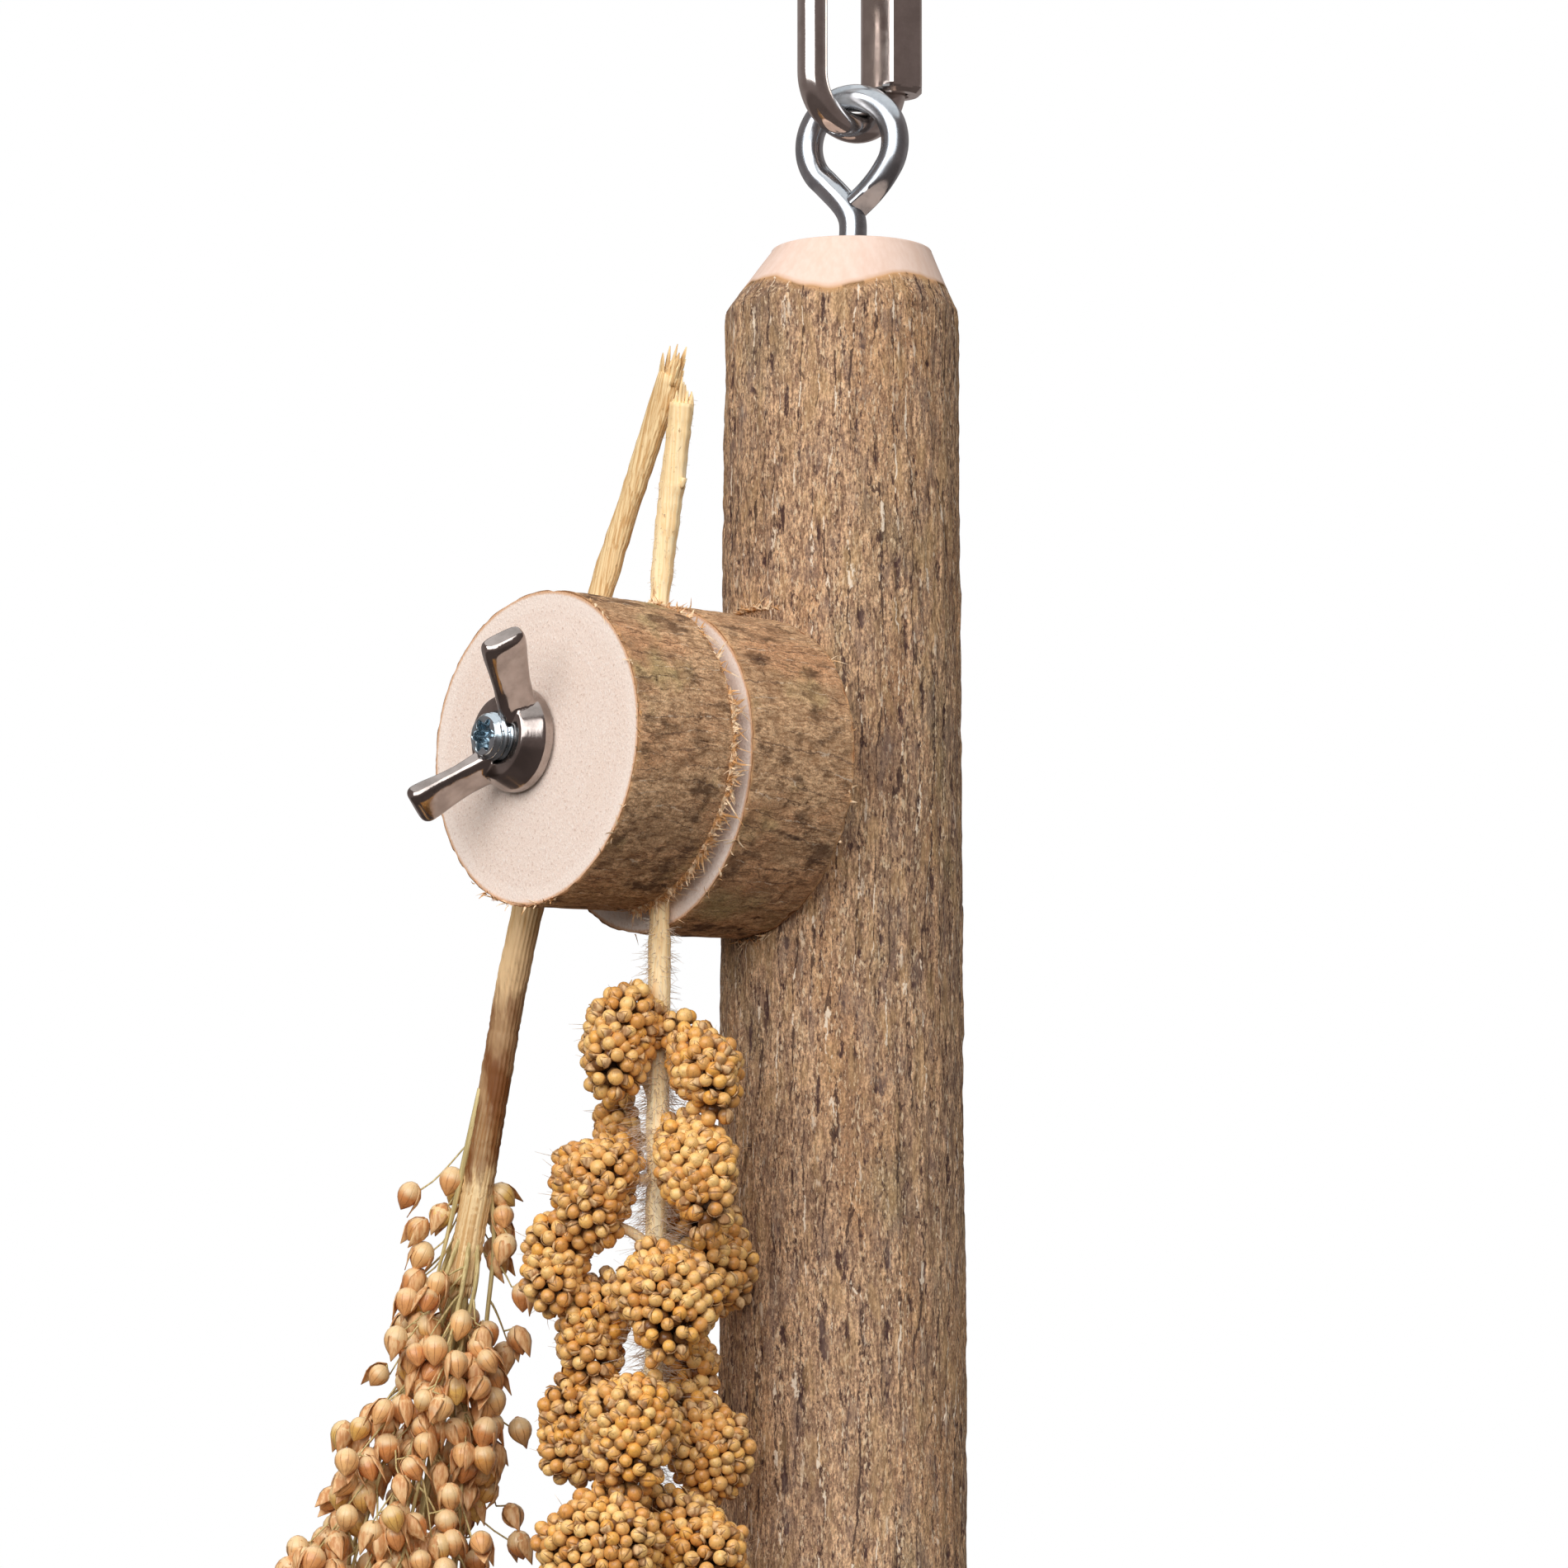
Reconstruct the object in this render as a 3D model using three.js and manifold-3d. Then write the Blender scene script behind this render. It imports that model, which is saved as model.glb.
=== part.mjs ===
import * as THREE from 'three';
import { mergeVertices } from 'three/addons/utils/BufferGeometryUtils.js';
import Module from 'manifold-3d';

const wasm = await Module();
wasm.setup();

// Millimetres and degrees. The origin is the top inside of the quick link, +Z is up, -Y is the clamp side.

// Fits and facets
const FIT = 0.3;
const ROUND_FACETS = 40;
const BORE_FACETS = 20;
const WIRE_FACETS = 9;
const STALK_FACETS = 8;
const ARC_STEP = 15;

// Quick link and its screwed sleeve
const LINK_WIRE_D = 3.6;
const LINK_INNER_WIDTH = 9.4;
const LINK_INNER_LENGTH = 30;
const LINK_STEPS = 52;
const LINK_END_HEIGHT = 1.5;
const LINK_GAP = 5.5;
const SLEEVE_FLATS = 7.2;
const SLEEVE_LENGTH = 14;
const SLEEVE_DROP = 1.5;
const SLEEVE_PLAY = 0.5;
const SLEEVE_CHAMFER = 0.5;
const SLEEVE_TURN = -9.5;

// Screw eye
const EYE_WIRE_D = 3.5;
const EYE_RING_D = 12;
const EYE_RISE = 13.6;
const EYE_TURN = 25;
const EYE_NECK = 4;
const EYE_FIRST = 232;
const EYE_LAST = -43;
const EYE_TAIL = 2.6;
const EYE_DEPTH = 25;
const EYE_STEPS = 46;

// Hanging branch
const BRANCH_X = -0.9;
const BRANCH_Y = -1;
const BRANCH_LENGTH = 250;
const BRANCH_TOP_D = 19.5;
const BRANCH_SHOULDER_D = 29;
const BRANCH_FOOT_D = 32;
const TAPER_HEIGHT = 10;
const TAPER_BULGE = 1.44;
const TAPER_STEPS = 4;
const SEAT_DEPTH = 0.6;
const SEAT_MARGIN = 0.8;

// Clamp discs, sawn from one thicker branch and bored off their middle
const DISC_D = 40;
const DISC_OVAL = 0.012;
const DISC_LUMP = 0.008;
const DISC_MID_BELOW_TOP = 68.7;
const DISC_MID_X = 0;
const REAR_DISC_THICK = 16.4;
const FRONT_DISC_THICK = 15.4;

// Hanger bolt M6 with a six-lobe recess
const BOLT_D = 6;
const BOLT_X = -2.5;
const BOLT_Z = 1;
const BOLT_PROUD = 1.5;
const BOLT_CHAMFER = 0.6;
const BOLT_WOOD_D = 5.6;
const BOLT_WOOD_DEPTH = 22;
const BOLT_POINT = 4;
const LOBE_RECESS_D = 3.8;
const LOBE_RECESS_WAVE = 0.3;
const LOBE_RECESS_DEPTH = 2.4;
const LOBE_RECESS_COUNT = 6;

// Wing nut with two blade wings
const HUB_BASE_D = 12.2;
const HUB_BAND = 1.6;
const HUB_TOP_D = 10.2;
const HUB_HEIGHT = 4.6;
const WING_ANGLE = 48;
const WING_THICK = 2.8;
const WING_ROOT_IN = 4;
const WING_BACK_RISE = 1.1;
const WING_TIP_R = 13.8;
const WING_TIP_BACK = 6.6;
const WING_TIP_WIDTH = 5.2;
const WING_LEAN = 25;
const WING_CORNER = 0.9;

// Stalks pressed flat in the clamp
const STALK_THICK = 2.2;
const FOXTAIL_STALK_W = 2.7;
const PROSO_STALK_W = 3.1;
const FOXTAIL_X = 3.6;
const FOXTAIL_TOP_Z = 45;
const FOXTAIL_TOP_X = 7.9;
const PROSO_X = -16.6;
const PROSO_SLANT = 0.37;
const PROSO_TOP_Z = 50;
const PROSO_TOP_X = 6.2;
const STALK_STEPS = 12;

// Foxtail millet head
const HEAD_TOP_Z = -35.5;
const HEAD_LENGTH = 100;
const HEAD_DRIFT = -2.6;
const HEAD_LOBES = 21;
const HEAD_LOBE_D = 11.4;
const HEAD_LOBE_LENGTH = 14.3;
const HEAD_LOBE_OUT = 9;
const HEAD_LOBE_START = -99.5;
const HEAD_LOBE_TURN = 112.5;
const HEAD_LOBE_LEAN = 8;
const HEAD_END_SHRINK = 0.2;
const HEAD_AXIS_D = 1.8;
const HEAD_TWIG_D = 0.9;
const LOBE_ROUND = 10;
const LOBE_TALL = 6;

// Proso millet sheath, axis and panicle branches
const SHEATH_W = 4.3;
const SHEATH_THICK = 3.6;
const SHEATH_TOP_Z = -24;
const SHEATH_FOOT_Z = -62;
const PROSO_DROOP = 0.27;
const PANICLE_AXIS_D = 1.2;
const PANICLE_FOOT_Z = -112;
const PANICLE_BRANCHES = 12;
const PANICLE_FIRST_Z = -47;
const PANICLE_PITCH = 2.6;
const PANICLE_TURN = 137.5;
const PANICLE_SPREAD = 16;
const PANICLE_INNER = 0.25;
const PANICLE_LENGTH = 62;
const PANICLE_CURVE = 0.75;
const PANICLE_BRANCH_D = 0.8;
const PANICLE_STEPS = 6;
const PANICLE_FACETS = 4;
const SEED_D = 3;
const SEED_LENGTH = 3.9;
const SEED_OUT = 1.1;
const SEED_PITCH = 3.7;
const SEED_FIRST = 0.22;
const SEED_ROUND = 5;
const SEED_TALL = 3;

// Levels and distances that follow from the sizes above
const linkWireR = LINK_WIRE_D / 2;
const linkBendR = (LINK_INNER_WIDTH + LINK_WIRE_D) / 2;
const linkLowBend = linkBendR - linkWireR - LINK_INNER_LENGTH;
const linkHighBend = linkWireR - linkBendR;
const eyeWireR = EYE_WIRE_D / 2;
const eyeRingR = EYE_RING_D / 2;
const eyeMid = FIT - LINK_INNER_LENGTH + eyeWireR - eyeRingR;
const branchTop = eyeMid - EYE_RISE;
const discMidX = BRANCH_X + DISC_MID_X;
const discMidZ = branchTop - DISC_MID_BELOW_TOP;
const boltX = BRANCH_X + BOLT_X;
const boltZ = discMidZ + BOLT_Z;
const boltBoreR = BOLT_D / 2 + FIT;
const seatFromAxis = branchRadius(DISC_MID_BELOW_TOP) - SEAT_DEPTH;
const seatY = BRANCH_Y - seatFromAxis;
const rearDiscBack = seatY - FIT;
const rearDiscFront = rearDiscBack - REAR_DISC_THICK;
const frontDiscBack = rearDiscFront - STALK_THICK - 2 * FIT;
const frontDiscFront = frontDiscBack - FRONT_DISC_THICK;
const gapY = (rearDiscFront + frontDiscBack) / 2;
const hubBase = frontDiscFront - FIT;
const boltEnd = hubBase - HUB_HEIGHT - BOLT_PROUD;

// Materials
const bark = new THREE.MeshStandardMaterial({ color: 0x7c6647, roughness: 0.9, metalness: 0 });
const discBark = new THREE.MeshStandardMaterial({ color: 0x705c3f, roughness: 0.9, metalness: 0 });
const steel = new THREE.MeshStandardMaterial({ color: 0xb9b4b0, roughness: 0.2, metalness: 1 });
const zinc = new THREE.MeshStandardMaterial({ color: 0xaab4bb, roughness: 0.3, metalness: 1 });
const straw = new THREE.MeshStandardMaterial({ color: 0xd9b878, roughness: 0.8, metalness: 0 });
const foxtailSeed = new THREE.MeshStandardMaterial({ color: 0xb9842f, roughness: 0.6, metalness: 0 });
const prosoSeed = new THREE.MeshStandardMaterial({ color: 0xc6985f, roughness: 0.5, metalness: 0 });

const model = new THREE.Group();

function radians(degrees) {
  return THREE.MathUtils.degToRad(degrees);
}

// Closed solid from a geometry: seams welded, empty triangles dropped
function solid(geometry) {
  const bare = geometry.clone();
  bare.deleteAttribute('normal');
  bare.deleteAttribute('uv');
  const welded = mergeVertices(bare);
  const corners = welded.index.array;
  const kept = [];
  for (let i = 0; i < corners.length; i += 3) {
    const [a, b, c] = corners.slice(i, i + 3);
    if (a !== b && b !== c && c !== a) {
      kept.push(a, b, c);
    }
  }
  const mesh = new wasm.Mesh({
    numProp: 3,
    vertProperties: new Float32Array(welded.attributes.position.array),
    triVerts: new Uint32Array(kept),
  });
  return new wasm.Manifold(mesh);
}

// Named mesh of a finished solid
function add(name, body, material) {
  const mesh = body.getMesh();
  const geometry = new THREE.BufferGeometry();
  geometry.setAttribute('position', new THREE.BufferAttribute(mesh.vertProperties, mesh.numProp));
  geometry.setIndex(new THREE.BufferAttribute(mesh.triVerts, 1));
  geometry.computeVertexNormals();
  const piece = new THREE.Mesh(geometry, material);
  piece.name = name;
  model.add(piece);
}

// Solid of revolution about Y from pairs of radius and height
function turned(pairs, facets) {
  const profile = pairs.map(([radius, height]) => new THREE.Vector2(radius, height));
  return new THREE.LatheGeometry(profile, facets);
}

// Round bar along Y between two stations
function barY(radius, from, to, facets) {
  const bar = new THREE.CylinderGeometry(radius, radius, Math.abs(to - from), facets);
  return bar.translate(0, (from + to) / 2, 0);
}

// Wire or stalk of oval section swept along a smooth line
function swept(points, thick, wide, facets, steps) {
  const section = new THREE.Shape();
  section.absellipse(0, 0, thick / 2, wide / 2, 0, 2 * Math.PI);
  const outline = new THREE.Shape(section.getSpacedPoints(facets).slice(0, facets));
  const path = new THREE.CatmullRomCurve3(points, false, 'chordal');
  return new THREE.ExtrudeGeometry(outline, { extrudePath: path, steps });
}

// Branch radius at a distance below its top, under the taper
function branchRadius(below) {
  const share = (below - TAPER_HEIGHT) / (BRANCH_LENGTH - TAPER_HEIGHT);
  return THREE.MathUtils.lerp(BRANCH_SHOULDER_D, BRANCH_FOOT_D, share) / 2;
}

// Quick link: bent wire with an opening in its rear leg
function quickLink() {
  const points = [];
  const lowEnd = linkLowBend + LINK_END_HEIGHT;
  const highEnd = lowEnd + LINK_GAP;
  points.push(new THREE.Vector3(0, linkBendR, lowEnd));
  for (let turn = 0; turn <= 180; turn += ARC_STEP) {
    const y = linkBendR * Math.cos(radians(turn));
    points.push(new THREE.Vector3(0, y, linkLowBend - linkBendR * Math.sin(radians(turn))));
  }
  for (let turn = 180; turn >= 0; turn -= ARC_STEP) {
    const y = linkBendR * Math.cos(radians(turn));
    points.push(new THREE.Vector3(0, y, linkHighBend + linkBendR * Math.sin(radians(turn))));
  }
  points.push(new THREE.Vector3(0, linkBendR, highEnd));
  return solid(swept(points, LINK_WIRE_D, LINK_WIRE_D, WIRE_FACETS, LINK_STEPS));
}

// Sleeve: hexagon bar with its end corners turned off, bored for the wire
function linkSleeve() {
  const corner = SLEEVE_FLATS / 2 / Math.cos(Math.PI / 6);
  const half = SLEEVE_LENGTH / 2;
  const hexagon = barY(corner, -half, half, 6);
  const rounding = turned([
    [0, -half],
    [corner - SLEEVE_CHAMFER, -half],
    [corner, SLEEVE_CHAMFER - half],
    [corner, half - SLEEVE_CHAMFER],
    [corner - SLEEVE_CHAMFER, half],
    [0, half],
  ], ROUND_FACETS);
  const bore = barY(linkWireR + SLEEVE_PLAY, -SLEEVE_LENGTH, SLEEVE_LENGTH, BORE_FACETS);
  const low = linkLowBend - SLEEVE_DROP;
  const body = solid(hexagon).intersect(solid(rounding)).subtract(solid(bore));
  return body.rotate([90, 0, SLEEVE_TURN]).translate([0, linkBendR, low + half]);
}

// Screw eye: wire bent to a ring over a straight screwed shank
function screwEye() {
  const along = new THREE.Vector3(Math.cos(radians(EYE_TURN)), Math.sin(radians(EYE_TURN)), 0);
  const at = (side, height) => along.clone().multiplyScalar(side).setZ(eyeMid + height);
  const points = [];
  points.push(at(0, -EYE_RISE - EYE_DEPTH));
  points.push(at(0, -EYE_RISE));
  points.push(at(0, EYE_NECK - EYE_RISE));
  for (let turn = EYE_FIRST; turn >= EYE_LAST; turn -= ARC_STEP) {
    points.push(at(eyeRingR * Math.cos(radians(turn)), eyeRingR * Math.sin(radians(turn))));
  }
  const tail = radians(EYE_LAST);
  const tailSide = eyeRingR * Math.cos(tail) + EYE_TAIL * Math.sin(tail);
  points.push(at(tailSide, eyeRingR * Math.sin(tail) - EYE_TAIL * Math.cos(tail)));
  return solid(swept(points, EYE_WIRE_D, EYE_WIRE_D, WIRE_FACETS, EYE_STEPS));
}

// Branch: tapered top, flat seat for the clamp, pilot holes for bolt and eye
function branch() {
  const outline = [[0, -BRANCH_LENGTH], [BRANCH_FOOT_D / 2, -BRANCH_LENGTH]];
  for (let step = TAPER_STEPS; step >= 0; step -= 1) {
    const share = step / TAPER_STEPS;
    const grown = 1 - (1 - share) ** TAPER_BULGE;
    const radius = THREE.MathUtils.lerp(BRANCH_TOP_D, BRANCH_SHOULDER_D, grown) / 2;
    outline.push([radius, -share * TAPER_HEIGHT]);
  }
  outline.push([0, 0]);
  const stem = turned(outline, ROUND_FACETS).rotateX(Math.PI / 2);
  const wood = solid(stem.translate(BRANCH_X, BRANCH_Y, branchTop));
  const seatR = DISC_D / 2 + SEAT_MARGIN;
  const seat = barY(seatR, seatY, seatY - BRANCH_FOOT_D, ROUND_FACETS);
  const boltHole = barY(boltBoreR, seatY - FIT, seatY + BOLT_WOOD_DEPTH + FIT, BORE_FACETS);
  const eyeHoleR = eyeWireR + FIT;
  const eyeHole = barY(eyeHoleR, FIT, -EYE_DEPTH - FIT, BORE_FACETS).rotateX(Math.PI / 2);
  return wood
    .subtract(solid(seat.translate(discMidX, 0, discMidZ)))
    .subtract(solid(boltHole.translate(boltX, 0, boltZ)))
    .subtract(solid(eyeHole.translate(0, 0, branchTop)));
}

// Clamp disc: slice of a not quite round branch, bored for the bolt
function disc(back, thick) {
  const rim = [];
  for (let facet = 0; facet < ROUND_FACETS; facet += 1) {
    const turn = (2 * Math.PI * facet) / ROUND_FACETS;
    const swell = 1 + DISC_OVAL * Math.cos(2 * turn) + DISC_LUMP * Math.sin(3 * turn);
    const radius = (DISC_D / 2) * swell;
    rim.push(new THREE.Vector2(radius * Math.cos(turn), radius * Math.sin(turn)));
  }
  const slice = new THREE.ExtrudeGeometry(new THREE.Shape(rim), { depth: thick, bevelEnabled: false });
  slice.rotateX(Math.PI / 2).translate(discMidX, back, discMidZ);
  const bore = barY(boltBoreR, back + FIT, back - thick - FIT, BORE_FACETS);
  return solid(slice).subtract(solid(bore.translate(boltX, 0, boltZ)));
}

// Hanger bolt: machine-thread end outside, wood-thread end in the branch
function hangerBolt() {
  const outer = BOLT_D / 2;
  const point = seatY + BOLT_WOOD_DEPTH;
  const body = turned([
    [0, boltEnd],
    [outer - BOLT_CHAMFER, boltEnd],
    [outer, boltEnd + BOLT_CHAMFER],
    [outer, seatY],
    [BOLT_WOOD_D / 2, seatY + BOLT_CHAMFER],
    [BOLT_WOOD_D / 2, point - BOLT_POINT],
    [0, point],
  ], BORE_FACETS);
  const lobed = [];
  const facets = LOBE_RECESS_COUNT * 6;
  for (let facet = 0; facet < facets; facet += 1) {
    const turn = (2 * Math.PI * facet) / facets;
    const radius = LOBE_RECESS_D / 2 + LOBE_RECESS_WAVE * Math.cos(LOBE_RECESS_COUNT * turn);
    lobed.push(new THREE.Vector2(radius * Math.cos(turn), radius * Math.sin(turn)));
  }
  const depth = 2 * LOBE_RECESS_DEPTH;
  const recess = new THREE.ExtrudeGeometry(new THREE.Shape(lobed), { depth, bevelEnabled: false });
  recess.rotateX(Math.PI / 2).translate(0, boltEnd + LOBE_RECESS_DEPTH, 0);
  return solid(body).subtract(solid(recess)).translate([boltX, 0, boltZ]);
}

// Wing blade in the plane of radius and height over the disc
function wing(turn) {
  const lean = radians(WING_LEAN);
  const tipFrontR = WING_TIP_R - WING_TIP_WIDTH * Math.sin(lean);
  const tipFront = WING_TIP_BACK + WING_TIP_WIDTH * Math.cos(lean);
  const edge = new THREE.Vector2(Math.sin(lean), -Math.cos(lean)).multiplyScalar(WING_CORNER);
  const blade = new THREE.Shape();
  blade.moveTo(WING_ROOT_IN, WING_BACK_RISE);
  blade.lineTo(HUB_BASE_D / 2, WING_BACK_RISE);
  blade.lineTo(WING_TIP_R - WING_CORNER, WING_TIP_BACK - WING_CORNER);
  blade.quadraticCurveTo(WING_TIP_R, WING_TIP_BACK, WING_TIP_R - edge.x, WING_TIP_BACK - edge.y);
  blade.lineTo(tipFrontR + edge.x, tipFront + edge.y);
  blade.quadraticCurveTo(tipFrontR, tipFront, tipFrontR - WING_CORNER, tipFront - WING_CORNER);
  blade.lineTo(WING_ROOT_IN, HUB_HEIGHT - WING_CORNER);
  const plate = new THREE.ExtrudeGeometry(blade, {
    depth: WING_THICK,
    bevelEnabled: false,
    curveSegments: 3,
  });
  return plate.translate(0, 0, -WING_THICK / 2).rotateY(radians(turn));
}

// Wing nut: coned hub over a plain band, with two opposite wings
function wingNut() {
  const hub = turned([
    [boltBoreR, 0],
    [HUB_BASE_D / 2, 0],
    [HUB_BASE_D / 2, HUB_BAND],
    [HUB_TOP_D / 2, HUB_HEIGHT],
    [boltBoreR, HUB_HEIGHT],
    [boltBoreR, 0],
  ], BORE_FACETS);
  const body = solid(hub).add(solid(wing(WING_ANGLE))).add(solid(wing(WING_ANGLE + 180)));
  return body.rotate([180, 0, 0]).translate([boltX, hubBase, boltZ]);
}

// Point in the plane of the clamp gap, measured from the disc middle
function inGap(x, z) {
  return new THREE.Vector3(discMidX + x, gapY, discMidZ + z);
}

// Place of the foxtail stalk and head axis at a height under the clamp
function foxtailAt(z) {
  const share = Math.max(0, HEAD_TOP_Z - z) / HEAD_LENGTH;
  return inGap(FOXTAIL_X + HEAD_DRIFT * share, z);
}

// Place of the proso stalk and panicle axis at a height under the clamp
function prosoAt(z) {
  const above = Math.max(z, SHEATH_TOP_Z);
  return inGap(PROSO_X + PROSO_SLANT * above + PROSO_DROOP * (z - above), z);
}

// Foxtail stalk, pressed in the clamp, with the thin axis of its head
function foxtailStem() {
  const clampR = DISC_D / 2;
  const headFoot = HEAD_TOP_Z - HEAD_LENGTH;
  const stalk = [
    inGap(FOXTAIL_TOP_X, FOXTAIL_TOP_Z),
    inGap((FOXTAIL_TOP_X + FOXTAIL_X) / 2, (FOXTAIL_TOP_Z + clampR) / 2),
    foxtailAt(clampR),
    foxtailAt(-clampR),
    foxtailAt(HEAD_TOP_Z),
  ];
  const axis = [foxtailAt(HEAD_TOP_Z + FOXTAIL_STALK_W), foxtailAt((HEAD_TOP_Z + headFoot) / 2)];
  axis.push(foxtailAt(headFoot));
  const flat = solid(swept(stalk, STALK_THICK, FOXTAIL_STALK_W, STALK_FACETS, STALK_STEPS));
  return flat.add(solid(swept(axis, HEAD_AXIS_D, HEAD_AXIS_D, STALK_FACETS, STALK_STEPS)));
}

// Foxtail lobe: lump of seeds on a twig that reaches the head's axis
function foxtailLobe(order) {
  const share = order / (HEAD_LOBES - 1);
  const size = 1 - HEAD_END_SHRINK * (2 * share - 1) ** 2;
  const ball = new THREE.SphereGeometry(HEAD_LOBE_D / 2, LOBE_ROUND, LOBE_TALL).rotateX(Math.PI / 2);
  ball.scale(size, size, (size * HEAD_LOBE_LENGTH) / HEAD_LOBE_D);
  ball.rotateY(-radians(HEAD_LOBE_LEAN)).translate(HEAD_LOBE_OUT * size, 0, 0);
  const twigFrom = HEAD_AXIS_D / 2 + FIT;
  const twigR = HEAD_TWIG_D / 2;
  const twig = barY(twigR, -twigFrom, -HEAD_LOBE_OUT * size, STALK_FACETS).rotateZ(Math.PI / 2);
  const lobe = solid(ball).add(solid(twig));
  const foot = foxtailAt(HEAD_TOP_Z - FOXTAIL_STALK_W - share * (HEAD_LENGTH - HEAD_LOBE_LENGTH / 2));
  return lobe.rotate([0, 0, HEAD_LOBE_START + HEAD_LOBE_TURN * order]).translate(foot.toArray());
}

// Proso stalk with its leaf sheath below the clamp and the thin panicle axis
function prosoStem() {
  const clampR = DISC_D / 2;
  const stalk = [
    inGap(PROSO_TOP_X, PROSO_TOP_Z),
    inGap((PROSO_TOP_X + prosoAt(clampR).x - discMidX) / 2, (PROSO_TOP_Z + clampR) / 2),
    prosoAt(clampR),
    prosoAt(0),
    prosoAt(SHEATH_TOP_Z),
    prosoAt(SHEATH_TOP_Z - SHEATH_W),
  ];
  const sheath = [prosoAt(SHEATH_TOP_Z), prosoAt(SHEATH_FOOT_Z)];
  const axis = [prosoAt(SHEATH_FOOT_Z + SHEATH_W), prosoAt(PANICLE_FOOT_Z)];
  return solid(swept(stalk, STALK_THICK, PROSO_STALK_W, STALK_FACETS, STALK_STEPS))
    .add(solid(swept(sheath, SHEATH_THICK, SHEATH_W, STALK_FACETS, 2)))
    .add(solid(swept(axis, PANICLE_AXIS_D, PANICLE_AXIS_D, STALK_FACETS, 2)));
}

// Line of one panicle branch, fanning out from the stalk and drooping
function panicleLine(order) {
  const share = (order + 1) / PANICLE_BRANCHES;
  const from = PANICLE_FIRST_Z - PANICLE_PITCH * order;
  const reach = PANICLE_SPREAD * Math.max(PANICLE_INNER, Math.sqrt(share));
  const turn = radians(PANICLE_TURN * order);
  const coreR = from > SHEATH_FOOT_Z ? SHEATH_W / 2 : PANICLE_AXIS_D / 2;
  const near = coreR + FIT + PANICLE_BRANCH_D / 2;
  const points = [];
  for (let step = 0; step <= PANICLE_STEPS; step += 1) {
    const run = step / PANICLE_STEPS;
    const out = near + (reach - near) * run ** PANICLE_CURVE;
    const aside = new THREE.Vector3(Math.cos(turn), Math.sin(turn), 0).multiplyScalar(out);
    points.push(prosoAt(from - PANICLE_LENGTH * run).add(aside));
  }
  return points;
}

// Panicle branch: thin stalk with seeds on alternate sides, set where no other branch is in the way
function panicleBranch(order, lines, taken) {
  const line = lines[order];
  const path = new THREE.CatmullRomCurve3(line, false, 'chordal');
  let body = solid(swept(line, PANICLE_BRANCH_D, PANICLE_BRANCH_D, PANICLE_FACETS, PANICLE_STEPS));
  const length = path.getLength();
  const count = Math.floor((length * (1 - SEED_FIRST)) / SEED_PITCH);
  const stalkR = PANICLE_BRANCH_D / 2;
  const seedR = SEED_LENGTH / 2;
  for (let seed = 0; seed <= count; seed += 1) {
    const run = 1 - (seed * SEED_PITCH) / length;
    const spot = path.getPointAt(run);
    const side = radians(PANICLE_TURN * (order + seed));
    spot.add(new THREE.Vector3(Math.cos(side), Math.sin(side), 0).multiplyScalar(SEED_OUT));
    const axisGap = spot.distanceTo(prosoAt(spot.z - discMidZ)) - seedR - SHEATH_W / 2;
    const clear = taken.every(({ owner, centre, radius }) => {
      return owner === order || centre.distanceTo(spot) > radius + seedR + FIT;
    });
    if (axisGap > FIT && clear) {
      const grain = new THREE.SphereGeometry(SEED_D / 2, SEED_ROUND, SEED_TALL).rotateX(Math.PI / 2);
      grain.scale(1, 1, SEED_LENGTH / SEED_D).translate(spot.x, spot.y, spot.z);
      body = body.add(solid(grain));
      taken.push({ owner: order, centre: spot, radius: seedR });
    }
  }
  return body;
}

add('quick_link', quickLink(), steel);
add('link_sleeve', linkSleeve(), steel);
add('screw_eye', screwEye(), zinc);
add('branch', branch(), bark);
add('rear_disc', disc(rearDiscBack, REAR_DISC_THICK), discBark);
add('front_disc', disc(frontDiscBack, FRONT_DISC_THICK), discBark);
add('hanger_bolt', hangerBolt(), zinc);
add('wing_nut', wingNut(), steel);
add('foxtail_stem', foxtailStem(), straw);
for (let order = 0; order < HEAD_LOBES; order += 1) {
  add(`foxtail_lobe_${order + 1}`, foxtailLobe(order), foxtailSeed);
}
add('proso_stem', prosoStem(), straw);
const panicleLines = [];
const taken = [];
for (let order = 0; order < PANICLE_BRANCHES; order += 1) {
  const line = panicleLine(order);
  panicleLines.push(line);
  const path = new THREE.CatmullRomCurve3(line, false, 'chordal');
  const radius = PANICLE_BRANCH_D / 2;
  path.getSpacedPoints(Math.ceil(PANICLE_LENGTH)).forEach((centre) => taken.push({ owner: order, centre, radius }));
}
for (let order = 0; order < PANICLE_BRANCHES; order += 1) {
  add(`proso_branch_${order + 1}`, panicleBranch(order, panicleLines, taken), prosoSeed);
}

export default model;
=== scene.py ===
import math

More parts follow.
